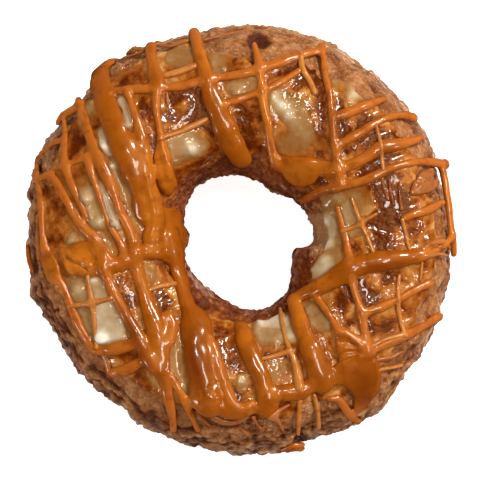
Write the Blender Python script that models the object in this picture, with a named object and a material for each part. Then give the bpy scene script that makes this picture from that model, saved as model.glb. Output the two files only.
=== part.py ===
"""A cake doughnut: one ring of fried dough, lying on its flat base, in metres.

The origin is the middle of the base, +Z is up and the ring's hole runs along Z. The sugar glaze and
the caramel are thin coatings, so the solid is the ring alone.
"""

import math

import bpy
from mathutils import Euler, Vector, noise

# Driving dimensions, in metres.
OUTER_RADIUS = 0.0443
HOLE_RADIUS = 0.0129
HOLE_CENTRE = (0.0006, -0.0004)
HEIGHT = 0.028
GIRTH_HEIGHT = 0.0135  # the level at which the ring is widest
BASE_DEPTH = 0.0144  # how far below the girth the section would reach if the base weren't flat
SECTION_POWER = 0.92  # 1 is an ellipse, and less is squarer

# The ring is cast from a torus with this many segments round the hole and round the dough.
RING_SEGMENTS = 96
DOUGH_SEGMENTS = 44

# Swells and hollows of the two outlines: (direction in degrees, half width in degrees, depth in metres).
# Directions run anticlockwise from +X, seen from above. Outward is positive on both outlines.
RIM_SWELLS = (
    (0, 12, 0.0002),
    (62, 11, 0.0007),
    (120, 14, 0.0006),
    (156, 18, 0.0006),
    (195, 9, 0.0006),
    (222, 20, -0.0006),
    (290, 24, 0.0009),
    (328, 12, 0.0006),
)
HOLE_SWELLS = (
    (8, 24, 0.0010),
    (60, 16, -0.0016),
    (130, 26, 0.0013),
    (180, 16, -0.0011),
    (235, 14, -0.0003),
    (280, 24, 0.0016),
    (340, 15, -0.0031),
)

# Gentle lumps all over the dough, smaller towards the base.
LUMP_HEIGHT = 0.0010
LUMP_SPACING = 0.016
LUMP_SEED = Vector((3.1, 7.7, 1.9))

CRUST_COLOUR = (0.34, 0.125, 0.032, 1.0)
CRUST_ROUGHNESS = 0.5


def clear_scene():
    for obj in list(bpy.data.objects):
        bpy.data.objects.remove(obj, do_unlink=True)


def swell(direction, swells):
    """How far an outline is pushed outward in this direction, in radians."""
    total = 0.0
    for centre, half_width, depth in swells:
        away = math.remainder(direction - math.radians(centre), math.tau)
        total += depth * math.exp(-((away / math.radians(half_width)) ** 2))
    return total


def outline_radii(direction):
    """(hole radius, rim radius) from the ring's middle, in this direction."""
    across = HOLE_CENTRE[0] * math.cos(direction) + HOLE_CENTRE[1] * math.sin(direction)
    hole = HOLE_RADIUS + across + swell(direction, HOLE_SWELLS)
    rim = OUTER_RADIUS + swell(direction, RIM_SWELLS)
    return hole, rim


def squared(value):
    """A sine or cosine, made squarer by SECTION_POWER."""
    return math.copysign(abs(value) ** SECTION_POWER, value)


def dough_point(direction, turn):
    """The surface point at this direction round the hole and this turn round the dough, before the lumps."""
    hole, rim = outline_radii(direction)
    radius = (rim + hole) / 2 + (rim - hole) / 2 * squared(math.cos(turn))
    reach = HEIGHT - GIRTH_HEIGHT if math.sin(turn) > 0 else BASE_DEPTH
    level = GIRTH_HEIGHT + reach * squared(math.sin(turn))
    return Vector((radius * math.cos(direction), radius * math.sin(direction), level))


def lump(point):
    """How far the surface stands out at this point, in metres."""
    fade = min(1.0, max(0.0, point.z / GIRTH_HEIGHT))
    return LUMP_HEIGHT * fade * noise.noise(point / LUMP_SPACING + LUMP_SEED)


def shape_ring(mesh, ring_radius):
    """Moves the torus's points onto the doughnut's surface, and flattens its base at Z 0."""
    for vertex in mesh.vertices:
        x, y, z = vertex.co
        direction = math.atan2(y, x)
        turn = math.atan2(z, math.hypot(x, y) - ring_radius)
        point = dough_point(direction, turn)
        outward = Euler((0.0, -turn, direction)).to_matrix() @ Vector((1.0, 0.0, 0.0))
        point += outward * lump(point)
        point.z = max(point.z, 0.0)
        vertex.co = point


def centre_on_base(mesh):
    """Puts the middle of the outline over the origin."""
    for axis in (0, 1):
        places = [vertex.co[axis] for vertex in mesh.vertices]
        middle = (min(places) + max(places)) / 2
        for vertex in mesh.vertices:
            vertex.co[axis] -= middle


def crust_material():
    material = bpy.data.materials.new("fried_crust")
    material.use_nodes = True
    shader = material.node_tree.nodes["Principled BSDF"]
    shader.inputs["Base Color"].default_value = CRUST_COLOUR
    shader.inputs["Roughness"].default_value = CRUST_ROUGHNESS
    shader.inputs["Metallic"].default_value = 0.0
    return material


def make_ring(collection):
    ring_radius = (OUTER_RADIUS + HOLE_RADIUS) / 2
    bpy.ops.mesh.primitive_torus_add(
        major_segments=RING_SEGMENTS,
        minor_segments=DOUGH_SEGMENTS,
        major_radius=ring_radius,
        minor_radius=(OUTER_RADIUS - HOLE_RADIUS) / 2,
    )
    ring = bpy.context.object
    ring.name = ring.data.name = "doughnut_ring"
    for other in list(ring.users_collection):
        other.objects.unlink(ring)
    collection.objects.link(ring)
    shape_ring(ring.data, ring_radius)
    centre_on_base(ring.data)
    ring.data.shade_smooth()
    ring.data.materials.append(crust_material())
    return ring


def main():
    clear_scene()
    doughnut = bpy.data.collections.new("cake_doughnut")
    bpy.context.scene.collection.children.link(doughnut)
    make_ring(doughnut)


main()
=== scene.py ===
"""Looks of the cake doughnut: fried crust, sugar glaze and a caramel drizzle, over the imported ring.

Lengths are in millimetres, and become metres where a mesh, a light or the camera is made.
Plan positions are (x, y) from the middle of the ring, seen from above. Directions run
anticlockwise from +X. A turn goes round the dough's section: 0 faces outward, 90 degrees up.
"""

import itertools
import math

import bpy
import numpy as np
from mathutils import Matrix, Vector
from mathutils.bvhtree import BVHTree


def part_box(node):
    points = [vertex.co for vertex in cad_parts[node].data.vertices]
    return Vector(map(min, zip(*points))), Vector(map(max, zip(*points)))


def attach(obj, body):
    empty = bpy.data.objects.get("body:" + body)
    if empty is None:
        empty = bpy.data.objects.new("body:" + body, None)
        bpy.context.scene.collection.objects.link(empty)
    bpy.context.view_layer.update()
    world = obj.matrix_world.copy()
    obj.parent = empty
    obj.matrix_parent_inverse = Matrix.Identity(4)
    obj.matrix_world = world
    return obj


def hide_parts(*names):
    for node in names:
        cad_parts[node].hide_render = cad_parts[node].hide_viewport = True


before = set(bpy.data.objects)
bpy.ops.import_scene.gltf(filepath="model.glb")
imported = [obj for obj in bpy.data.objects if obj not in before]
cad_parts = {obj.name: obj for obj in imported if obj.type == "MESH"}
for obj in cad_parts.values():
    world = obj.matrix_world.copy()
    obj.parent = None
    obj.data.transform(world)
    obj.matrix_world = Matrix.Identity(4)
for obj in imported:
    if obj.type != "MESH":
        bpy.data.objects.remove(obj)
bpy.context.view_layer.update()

MM = 0.001
RING = "doughnut_ring"

# ---------------------------------------------------------------- caramel strands
# Each strand is a few plan points (x, y, width), and the strands are in the order of pouring.
# The pools are broad and flat, the shallow strands lie under the steep ones, and the threads are thin.

POOLS = (
    # between the thick left strands and the hole
    ((-17.2, 3.4, 6.2), (-14.0, 3.6, 5.2)),
    ((-17.5, 0.0, 7.0), (-12.6, 0.0, 5.6)),
    ((-16.5, -2.2, 5.0), (-14.4, -3.0, 5.0)),
    ((-22.4, 14.0, 5.0), (-20.8, 10.0, 4.6), (-19.8, 5.5, 5.0)),
    # the tongue at the left
    ((-37.3, -2.1, 0.9), (-35.4, -2.9, 2.4), (-33.4, -3.1, 4.4), (-31.6, -3.6, 5.6), (-30.0, -4.6, 5.0),
     (-28.4, -5.7, 3.8), (-25.0, -6.0, 3.0)),
    ((-36.6, -4.2, 0.8), (-35.4, -5.7, 2.0), (-33.8, -6.7, 2.6), (-31.8, -6.9, 2.6), (-29.8, -6.6, 2.6)),
    ((-40.3, -2.6, 2.0), (-39.6, -4.8, 4.2), (-38.8, -7.0, 4.2), (-38.4, -9.2, 2.0)),
    # the tongue over the hole's upper right
    ((8.2, 15.7, 3.2), (10.5, 14.9, 4.8), (12.6, 13.9, 6.6), (14.8, 14.6, 5.0), (16.8, 15.0, 3.0)),
    ((17.6, 14.6, 3.0), (19.0, 13.6, 4.2), (20.2, 12.2, 2.6)),
    # the broad blob at the lower right
    ((19.6, -28.4, 3.6), (22.4, -27.8, 5.8), (25.2, -27.2, 7.0)),
    ((25.4, -28.6, 7.2), (25.9, -31.0, 6.0), (25.3, -33.2, 4.4), (24.4, -35.2, 2.6)),
    ((20.9, -19.6, 2.6), (22.0, -21.6, 4.6), (23.0, -23.4, 5.8), (24.0, -25.4, 5.0)),
)

SHALLOW = (
    ((-27.0, 30.0, 1.8), (-22.0, 30.7, 1.9), (-18.0, 30.8, 2.0), (-14.0, 31.2, 2.1), (-11.0, 31.7, 2.1),
     (-7.5, 32.6, 2.0)),
    ((-6.0, 33.0, 1.8), (0.0, 33.9, 2.0), (4.0, 34.9, 2.1), (8.0, 36.3, 2.3), (12.0, 37.6, 2.2),
     (16.6, 38.7, 1.8)),
    ((-4.4, 27.4, 1.4), (0.0, 28.9, 1.6), (4.0, 30.3, 1.6), (6.5, 31.3, 1.7), (9.0, 32.6, 1.7),
     (12.4, 34.7, 1.5)),
    ((-26.2, -27.8, 2.2), (-23.5, -27.1, 2.7), (-21.0, -25.9, 2.6), (-18.4, -24.4, 2.6)),
    ((-29.6, -22.6, 2.2), (-27.0, -22.9, 2.6), (-24.0, -22.4, 2.6), (-21.0, -21.4, 2.4)),
    ((-28.5, -5.6, 2.8), (-24.5, -5.0, 3.0), (-21.5, -3.4, 3.2), (-17.5, -2.6, 3.2)),
    ((19.6, 25.1, 1.9), (22.5, 26.0, 2.2), (25.0, 27.0, 2.3), (27.8, 28.0, 1.8), (29.6, 28.6, 1.2)),
    ((20.0, 19.0, 1.8), (22.5, 20.5, 2.0), (25.0, 21.9, 2.0), (27.5, 23.5, 1.9), (30.0, 24.7, 1.8),
     (33.0, 25.3, 1.4), (35.6, 24.8, 2.4)),
    ((18.6, 14.0, 2.4), (23.0, 15.2, 2.5), (26.0, 16.8, 2.4), (28.8, 18.6, 3.0), (31.4, 19.2, 3.0),
     (34.0, 19.6, 2.2), (37.2, 20.6, 1.3)),
    ((20.2, 10.9, 1.9), (23.0, 11.3, 2.1), (25.5, 11.9, 2.1), (28.0, 12.9, 2.0), (30.5, 14.2, 1.8),
     (34.0, 15.3, 1.7), (38.0, 15.7, 1.8), (42.4, 15.2, 2.2)),
    ((13.2, 7.8, 1.5), (15.0, 8.9, 1.8), (17.5, 10.0, 1.9), (20.2, 10.6, 1.8)),
    ((33.8, 4.1, 1.6), (36.0, 5.0, 1.8), (38.5, 5.8, 1.9), (41.6, 7.3, 1.4)),
    ((25.2, -15.7, 1.8), (29.0, -14.3, 2.0), (32.0, -12.9, 1.9), (35.0, -11.3, 1.9), (37.6, -9.9, 2.0),
     (38.9, -9.4, 2.1)),
    ((25.0, -24.2, 2.0), (28.0, -22.8, 2.1), (31.0, -21.4, 2.2), (34.0, -20.0, 2.1), (37.0, -18.5, 2.0),
     (39.5, -16.9, 2.1), (40.9, -16.2, 2.2)),
    ((6.6, -31.9, 3.0), (9.8, -32.0, 3.6), (12.5, -31.6, 3.6), (15.0, -30.0, 3.0)),
    ((-9.4, -33.5, 3.0), (-5.0, -35.0, 3.4), (-1.0, -35.8, 3.4), (2.2, -35.2, 2.8)),
    ((6.6, -44.2, 0.8), (8.8, -43.5, 1.2), (10.8, -42.7, 1.5), (12.8, -42.6, 1.3)),
    ((9.4, -43.9, 0.9), (11.2, -43.4, 1.5), (12.8, -43.6, 1.2)),
    ((-42.2, 16.4, 1.0), (-40.0, 18.2, 1.1), (-38.4, 19.6, 1.3), (-36.4, 20.3, 1.3)),
    ((-36.4, 14.9, 1.2), (-34.2, 15.7, 1.5), (-32.6, 16.4, 1.5), (-31.2, 16.8, 1.3)),
    ((-39.6, 12.9, 1.3), (-38.0, 14.2, 1.2), (-36.4, 15.1, 1.1)),
    ((-37.7, 23.6, 1.1), (-36.5, 25.1, 1.8), (-34.6, 26.4, 2.0), (-32.6, 27.6, 1.6)),
    ((20.2, -19.2, 1.5), (22.6, -20.2, 1.7), (25.6, -22.3, 1.6)),
    ((18.4, -33.2, 1.4), (20.2, -33.2, 1.7), (21.3, -34.6, 1.8), (22.4, -36.4, 1.8), (24.2, -37.8, 1.6)),
    ((-28.6, 35.9, 2.0), (-27.4, 37.0, 3.0), (-26.0, 36.9, 2.0)),
)

STEEP = (
    # left
    ((-41.9, 16.4, 1.3), (-41.8, 13.0, 1.4), (-41.4, 10.0, 1.5), (-41.1, 7.0, 1.6), (-40.9, 4.0, 1.7),
     (-40.8, 1.0, 1.7), (-40.4, -2.0, 2.0)),
    ((-41.8, 11.8, 1.3), (-39.6, 12.9, 1.6), (-38.2, 12.0, 1.8), (-37.0, 9.6, 1.8), (-35.6, 7.2, 1.9),
     (-34.4, 4.6, 2.0), (-32.8, 2.4, 2.3), (-31.0, 0.8, 2.3), (-29.4, -1.2, 2.4), (-28.0, -4.0, 2.4)),
    ((-36.4, 25.0, 1.1), (-36.0, 21.0, 1.4), (-36.3, 18.0, 1.7), (-36.0, 15.0, 1.8), (-35.2, 12.0, 1.8),
     (-34.2, 9.5, 1.7), (-33.0, 6.8, 1.7), (-31.8, 4.2, 1.5)),
    ((-31.7, 16.8, 1.4), (-31.0, 14.0, 1.6), (-30.2, 11.5, 1.7), (-29.2, 8.5, 1.6), (-28.2, 5.5, 1.5),
     (-27.0, 2.3, 1.5), (-25.8, 0.5, 1.6), (-24.6, -2.0, 1.8), (-24.0, -4.5, 2.2)),
    ((-33.4, 28.4, 1.6), (-32.1, 24.5, 2.0), (-31.1, 21.0, 2.2), (-30.0, 18.0, 2.3), (-28.7, 15.0, 2.5),
     (-27.3, 12.0, 2.7), (-26.2, 9.0, 2.5), (-25.2, 6.0, 2.3), (-23.9, 3.4, 2.4), (-22.7, 0.5, 2.6),
     (-22.0, -3.0, 2.6)),
    # upper left
    ((-27.6, 36.4, 2.8), (-28.5, 34.8, 4.2), (-28.9, 32.6, 4.8), (-28.4, 30.0, 4.9), (-27.5, 27.0, 5.0),
     (-26.3, 24.0, 5.0), (-24.9, 20.5, 5.2), (-23.2, 17.0, 5.2), (-21.7, 13.0, 5.0), (-20.3, 9.0, 4.8),
     (-19.2, 5.0, 4.8)),
    ((-23.3, 30.3, 1.6), (-22.4, 27.0, 1.7), (-21.4, 24.0, 2.2), (-20.6, 20.0, 3.4), (-20.1, 16.0, 3.6),
     (-19.5, 12.0, 3.4), (-18.6, 8.0, 3.2), (-17.9, 4.0, 3.4), (-18.4, 0.0, 3.4)),
    ((-18.5, 39.4, 2.7), (-18.3, 37.0, 2.7), (-17.8, 34.5, 3.0), (-17.2, 32.0, 3.4), (-17.3, 30.0, 2.2),
     (-17.4, 27.0, 1.8), (-17.0, 24.0, 1.6), (-16.5, 21.0, 1.8), (-16.3, 18.0, 3.0), (-16.2, 15.0, 4.1),
     (-15.7, 12.0, 4.3), (-15.3, 10.5, 3.8)),
    ((-9.6, 42.3, 2.3), (-8.8, 39.5, 2.7), (-8.0, 36.5, 2.8), (-7.0, 33.0, 3.3), (-6.2, 30.0, 3.3),
     (-5.0, 27.0, 4.0), (-3.6, 24.0, 4.8), (-2.2, 21.0, 5.0), (-0.8, 18.3, 5.0), (0.3, 16.6, 4.4)),
    # upper right
    ((2.8, 40.0, 1.3), (3.6, 37.0, 1.6), (4.2, 33.0, 1.7), (4.5, 30.0, 1.8), (5.0, 27.0, 1.9),
     (5.7, 24.0, 1.9), (6.1, 21.0, 1.9), (6.7, 18.0, 2.0), (7.4, 15.8, 2.4)),
    ((16.6, 39.4, 1.4), (17.2, 36.0, 1.6), (17.6, 33.0, 1.6), (18.4, 30.0, 1.7), (18.7, 27.0, 1.7),
     (19.1, 24.0, 1.7), (19.4, 21.0, 1.9), (19.9, 18.0, 2.0), (20.4, 15.0, 2.1), (20.8, 11.5, 1.8)),
    ((41.6, 14.2, 1.8), (42.3, 10.5, 1.7), (42.8, 7.0, 1.7), (43.1, 4.0, 1.7), (43.4, 1.0, 1.8),
     (43.8, -1.2, 1.9), (43.9, -3.2, 1.6)),
    # lower right
    ((20.4, 6.4, 1.3), (21.0, 4.0, 1.6), (21.8, 1.0, 1.6), (22.3, -2.0, 1.7), (22.8, -5.0, 1.9),
     (23.3, -9.0, 1.8), (24.0, -12.0, 1.7), (24.9, -15.0, 1.8), (25.5, -18.0, 1.9), (26.1, -21.0, 1.9),
     (26.5, -23.8, 1.9)),
    ((37.2, -3.4, 1.8), (40.0, -2.6, 1.6), (42.2, -1.2, 1.5), (43.4, 0.4, 1.4)),
    ((11.4, -12.9, 2.6), (14.3, -11.2, 3.2), (17.3, -9.9, 3.9), (20.5, -7.9, 4.1), (24.0, -6.0, 4.1),
     (28.0, -5.0, 4.2), (32.0, -4.4, 4.1), (35.3, -3.9, 3.6), (37.8, -3.3, 2.6)),
    ((11.4, -13.3, 2.6), (12.1, -16.0, 3.3), (13.0, -19.0, 3.8), (14.2, -22.0, 4.0), (15.4, -25.0, 4.6),
     (16.4, -28.0, 5.2), (17.0, -30.0, 4.6)),
    ((16.0, -12.5, 1.6), (17.6, -14.7, 1.7), (19.0, -17.0, 1.7), (20.6, -19.4, 1.7)),
    ((0.0, -18.8, 3.0), (1.0, -21.5, 4.4), (2.3, -24.8, 4.2), (3.8, -28.0, 4.2), (5.0, -31.0, 4.3),
     (5.7, -34.0, 4.5), (5.4, -35.2, 4.3)),
    # lower left
    ((-15.2, 0.0, 5.0), (-14.6, -3.0, 5.0), (-13.7, -6.0, 4.4), (-12.7, -9.0, 3.8), (-11.9, -12.0, 3.4),
     (-10.8, -15.0, 4.2), (-9.4, -17.5, 6.2), (-9.2, -20.5, 6.0), (-9.0, -24.0, 5.4),
     (-8.2, -28.0, 5.4), (-7.4, -31.5, 6.0), (-6.6, -34.2, 5.6)),
    ((-6.4, -21.0, 1.8), (-5.4, -24.0, 2.4), (-4.4, -27.5, 2.8), (-3.2, -31.0, 2.8), (-1.8, -34.0, 2.6),
     (0.4, -35.3, 2.0), (2.2, -34.2, 1.6)),
    ((-22.0, -3.0, 3.0), (-21.6, -6.0, 2.8), (-20.9, -9.0, 2.8), (-19.9, -12.0, 2.9),
     (-18.9, -15.0, 3.3), (-17.8, -18.0, 4.2), (-17.0, -21.0, 4.2), (-16.8, -24.0, 4.2),
     (-16.2, -27.0, 3.4), (-15.7, -30.0, 2.7), (-14.9, -33.0, 2.3), (-14.2, -36.0, 1.9),
     (-13.8, -39.4, 1.5)),
    ((-15.0, -16.3, 2.6), (-14.2, -18.5, 2.4), (-14.8, -21.5, 2.4)),
    ((-28.3, -6.3, 2.4), (-27.0, -9.8, 2.3), (-25.4, -13.0, 2.5), (-23.8, -16.0, 2.5),
     (-22.0, -19.0, 2.7), (-20.4, -22.0, 2.9), (-18.8, -25.0, 3.0), (-17.0, -27.5, 2.8)),
    ((-14.2, -28.3, 1.6), (-12.9, -31.0, 1.7), (-11.5, -33.8, 1.8), (-10.2, -36.5, 1.4),
     (-8.8, -39.4, 1.1)),
    ((-38.0, -8.0, 2.0), (-36.6, -10.0, 1.8), (-35.4, -13.0, 1.9), (-34.2, -16.0, 2.1),
     (-32.7, -19.0, 2.1), (-31.0, -21.7, 2.0), (-29.3, -23.2, 2.0)),
    ((-43.9, -1.6, 0.9), (-43.5, -4.5, 1.2), (-42.8, -7.0, 0.9)),
)

THREADS = (
    ((-16.3, 20.9, 1.1), (-13.0, 22.0, 1.3), (-10.0, 23.3, 1.3), (-7.2, 24.6, 1.2)),
    ((-15.6, 33.5, 1.2), (-12.5, 34.4, 1.5), (-9.4, 35.6, 1.4)),
    ((12.3, 37.6, 1.1), (12.8, 34.8, 1.3), (14.2, 32.6, 1.3), (15.4, 30.1, 1.2)),
    ((-31.6, -8.0, 1.0), (-31.1, -11.0, 1.2), (-30.6, -14.0, 1.3), (-30.2, -17.0, 1.2),
     (-29.8, -20.0, 1.1), (-29.3, -22.4, 1.0)),
    ((-35.0, -14.0, 0.9), (-32.0, -13.6, 1.2), (-30.0, -13.3, 1.2), (-26.8, -12.5, 1.1)),
    ((23.2, 8.2, 0.7), (24.0, 6.0, 0.9), (25.1, 3.2, 1.0), (26.2, 0.5, 1.0), (27.5, -2.8, 0.9)),
    ((21.6, 1.5, 1.1), (23.6, 2.3, 1.2), (25.2, 3.2, 1.1), (28.2, 5.0, 0.8)),
    ((33.4, 3.8, 0.8), (34.0, 1.6, 0.9), (34.4, -0.4, 0.9), (34.9, -2.4, 0.8)),
    ((32.8, -7.8, 0.8), (32.5, -11.0, 1.0), (32.5, -14.0, 1.0), (33.0, -17.0, 1.0), (33.7, -19.8, 0.9)),
    ((8.4, -15.0, 0.9), (8.8, -18.0, 1.1), (9.4, -21.0, 1.1), (10.6, -24.0, 1.3), (11.6, -27.0, 1.7),
     (12.2, -30.8, 2.2)),
    ((4.6, -25.2, 0.8), (7.4, -24.5, 1.2), (10.2, -23.6, 1.0)),
    ((12.3, -33.6, 1.0), (12.1, -37.0, 1.1), (11.9, -40.4, 0.8)),
    ((15.2, -32.4, 0.9), (15.9, -35.4, 1.0), (16.2, -39.0, 0.8)),
    ((-19.2, -10.9, 0.9), (-16.5, -10.0, 1.1), (-14.0, -9.7, 1.0)),
    ((37.5, -4.8, 0.7), (37.1, -8.8, 0.7)),
    ((28.0, 23.0, 0.8), (28.7, 20.5, 0.9), (29.2, 17.0, 0.9), (29.5, 14.2, 0.9)),
    ((27.0, -22.3, 0.8), (30.0, -20.8, 0.9), (33.2, -19.7, 0.8)),
    ((28.5, -27.0, 0.8), (31.0, -26.7, 0.9), (33.2, -26.2, 0.8)),
    ((-23.8, 38.9, 0.9), (-21.8, 38.9, 1.1), (-20.0, 38.9, 1.0)),
)

# Thin paler films, webs and lumps of caramel.
FILMS = (
    # over the rim at the right
    ((35.6, 9.4, 1.4), (36.6, 11.0, 2.6), (38.0, 12.6, 2.8), (39.6, 13.8, 1.6)),
    ((36.8, 9.6, 1.6), (38.6, 10.6, 2.6), (40.4, 11.4, 1.8)),
    ((37.6, -2.6, 1.8), (39.8, -1.2, 1.4), (41.8, -0.8, 1.3), (43.0, -2.0, 1.2)),
    ((38.6, -3.6, 1.2), (40.6, -3.2, 1.0), (42.6, -3.6, 0.9)),
    # webs below the lower strands
    ((6.4, -36.6, 1.6), (7.8, -35.8, 1.0), (10.0, -34.6, 0.8)),
    ((6.6, -36.6, 1.8), (7.8, -38.0, 1.0), (8.9, -40.0, 0.7)),
    ((2.8, -37.2, 1.4), (3.5, -38.6, 0.8), (4.4, -39.8, 0.6)),
    ((4.4, -39.8, 0.6), (5.0, -38.9, 0.6)),
    ((0.4, -39.8, 0.8), (1.2, -40.4, 1.1), (2.0, -41.0, 0.8)),
    ((-5.6, -37.2, 1.6), (-3.0, -38.2, 1.4), (-0.6, -38.0, 1.2), (1.4, -36.8, 0.9)),
    ((-8.8, -36.0, 1.2), (-7.6, -37.6, 0.9), (-6.4, -38.8, 0.7)),
    # lines and lumps along the upper rim
    ((-26.0, 36.2, 0.7), (-23.0, 37.5, 0.8), (-20.0, 38.6, 0.8)),
    ((-23.2, 38.7, 1.4), (-21.8, 38.6, 1.2)),
    ((-17.0, 39.8, 0.8), (-14.6, 39.6, 0.9), (-13.0, 40.2, 1.3), (-11.2, 40.7, 1.3)),
    ((-7.6, 40.9, 0.7), (-4.0, 41.8, 0.7), (-0.4, 42.6, 0.6), (2.0, 43.0, 0.6)),
    # streaks
    ((28.4, -25.2, 1.2), (30.8, -24.8, 1.0), (33.2, -23.6, 0.7)),
    ((-34.4, 6.0, 1.0), (-33.6, 4.6, 1.1), (-33.0, 3.6, 0.8)),
    ((30.8, 12.4, 0.7), (31.2, 9.6, 0.9), (31.8, 6.8, 0.8)),
    ((32.8, 11.6, 0.6), (32.9, 9.4, 0.7), (33.4, 6.0, 1.0)),
    ((29.4, 12.4, 0.7), (29.8, 10.2, 0.8), (30.4, 7.8, 0.6)),
    ((-28.2, -24.2, 1.6), (-27.4, -26.2, 1.4), (-27.0, -27.8, 1.0)),
    ((-15.3, 30.2, 0.9), (-15.2, 28.6, 0.9), (-15.1, 27.4, 0.7)),
    ((-41.8, 4.0, 1.2), (-41.9, 0.0, 1.3), (-41.6, -4.0, 1.4)),
)

# Windows of thick pale glaze: (x, y, radius across, radius along, lean in degrees, strength).
PALE_GLAZE = (
    # left, between the thin strands
    (-24.4, 10.4, 1.5, 6.2, -22, 0.64),
    (-27.4, 6.6, 1.2, 4.8, -22, 1.05),
    (-30.8, 6.2, 1.9, 4.4, -20, 0.74),
    # painted paler here, as painted light against the strand's shadow
    (-28.0, 19.6, 1.0, 2.8, -22, 1.00),
    (-34.8, 0.2, 0.7, 1.4, 30, 0.60),
    (-28.0, 6.0, 7.0, 10.0, -15, 0.32),
    # lower left
    (-29.4, -10.6, 1.6, 2.6, -15, 0.90),
    (-33.0, -10.8, 1.9, 2.8, -10, 0.66),
    (-27.2, -17.5, 2.9, 4.6, -14, 1.05),
    (-31.9, -17.0, 1.1, 3.2, -16, 0.66),
    (-24.6, -9.4, 1.7, 5.0, -18, 0.05),
    (-18.2, -7.0, 2.2, 2.8, -10, 0.28),
    (-31.0, -14.0, 4.0, 7.0, -15, 0.52),
    (-12.7, -27.0, 1.7, 5.6, -14, 0.48),
    # bottom
    (-3.0, -24.4, 1.6, 4.6, -18, 0.06),
    (0.3, -30.2, 1.3, 1.7, 0, 0.62),
    (6.8, -17.2, 3.2, 2.0, 15, 1.12),
    (8.0, -27.4, 2.5, 3.0, -14, 0.36),
    (7.2, -21.6, 2.4, 2.0, -10, 0.32),
    # upper left
    (-12.7, 37.3, 2.6, 2.1, 0, 0.55),
    (-23.8, 26.0, 1.0, 3.2, -15, 1.00),
    (-12.2, 25.0, 4.0, 1.4, -20, 0.20),
    (-11.6, 18.7, 4.2, 2.8, -20, 0.80),
    # upper right
    (0.2, 31.5, 3.2, 1.4, -15, 0.65),
    (11.2, 25.4, 4.6, 7.0, 0, 0.60),
    (12.6, 20.0, 4.6, 2.2, 0, 0.42),
    (22.8, 32.0, 3.2, 3.6, -40, 0.72),
    # right
    (25.8, 8.2, 4.0, 2.6, -10, 0.48),
    (22.8, 3.8, 2.0, 3.6, -20, 0.80),
    (18.4, 6.6, 1.8, 1.2, -25, 0.30),
    (18.3, 1.6, 1.6, 3.8, 0, 1.00),
    (18.6, -4.2, 2.2, 1.6, -30, 0.62),
    (24.4, -1.2, 2.0, 2.2, 0, 0.12),
    (28.4, -9.8, 2.8, 1.7, -25, 0.10),
    (19.0, 4.0, 3.0, 6.0, 0, 0.66),
    (17.4, -6.4, 2.2, 2.8, 35, 0.78),
    # lower right
    (16.2, -16.8, 1.7, 3.2, -28, 0.66),
    (20.6, -13.4, 2.0, 3.2, -28, 0.45),
    (8.0, -19.4, 5.0, 2.4, 0, 0.92),
)

# How far the rim's crust is greyer and rosier, by direction in degrees: partly its own colour, partly a
# painted sheen of reflected pale light.
ROSY_RIM = (
    (0, 0.9), (45, 0.7), (80, 0.1), (140, 0.2), (180, 0.8), (225, 1.0), (265, 0.7), (310, 0.35),
    (340, 0.7), (360, 0.9),
)

# How craggy the rim is, by direction in degrees.
CRAGS = (
    (0, 0.4), (50, 0.2), (110, 0.3), (150, 0.6), (195, 1.0), (250, 1.0), (290, 0.8), (330, 0.5),
    (360, 0.4),
)

# How much further out the rim's dough reaches, and further into the hole, by direction in degrees.
RIM_OFFSET = (
    (0, -0.3), (15, -1.7), (20, -1.5), (26, -0.2), (30, -0.5), (45, -0.6), (60, -1.1), (70, -0.5),
    (80, -0.4),
    (95, -0.7), (110, -1.0), (120, 0.0), (125, 0.5), (134, -0.2), (142, -1.2), (150, 0.4), (157, 0.5),
    (168, 0.5),
    (175, -0.5), (190, -0.1), (195, 0.4), (200, -0.7), (212, -0.9), (220, 0.8), (235, -0.3), (240, 0.6),
    (247, 0.5),
    (265, 0.45), (280, 0.4), (290, -0.9), (300, 0.1), (308, 1.1), (318, 0.0), (330, 0.4), (340, 0.3),
    (345, -0.6),
    (350, 0.0), (355, -0.8), (360, -0.3),
)
HOLE_OFFSET = (
    (0, -2.0), (6, -1.7), (15, -0.1), (30, -0.1), (45, 0.4), (60, -0.1), (105, -0.4), (145, 0.3),
    (155, 0.9),
    (165, 0.7), (178, 1.2), (188, 1.0), (200, 0.4), (215, 0.4), (230, -0.1), (250, 0.2), (270, 0.2),
    (280, -0.2),
    (300, -0.4), (310, -0.8), (320, 0.2), (340, -0.4), (350, 0.3), (355, -1.2), (360, -2.0),
)

# Hollows in the crust: (x, y, radius, depth). A depth below zero makes a bump.
PITS = (
    (3.4, 41.6, 1.6, 1.7),
    (5.2, 40.6, 0.9, 0.8),
    (2.2, 35.9, 1.0, 0.7),
    (32.0, 7.5, 2.6, 0.7),
    (-9.0, -12.5, 0.9, 0.8),
    (-7.5, -14.0, 0.8, 0.7),
    (12.6, -43.0, 1.2, 0.6),
    (19.4, -26.2, 0.9, 0.9),
    (16.3, 1.0, 3.6, -1.3),
)

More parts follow.
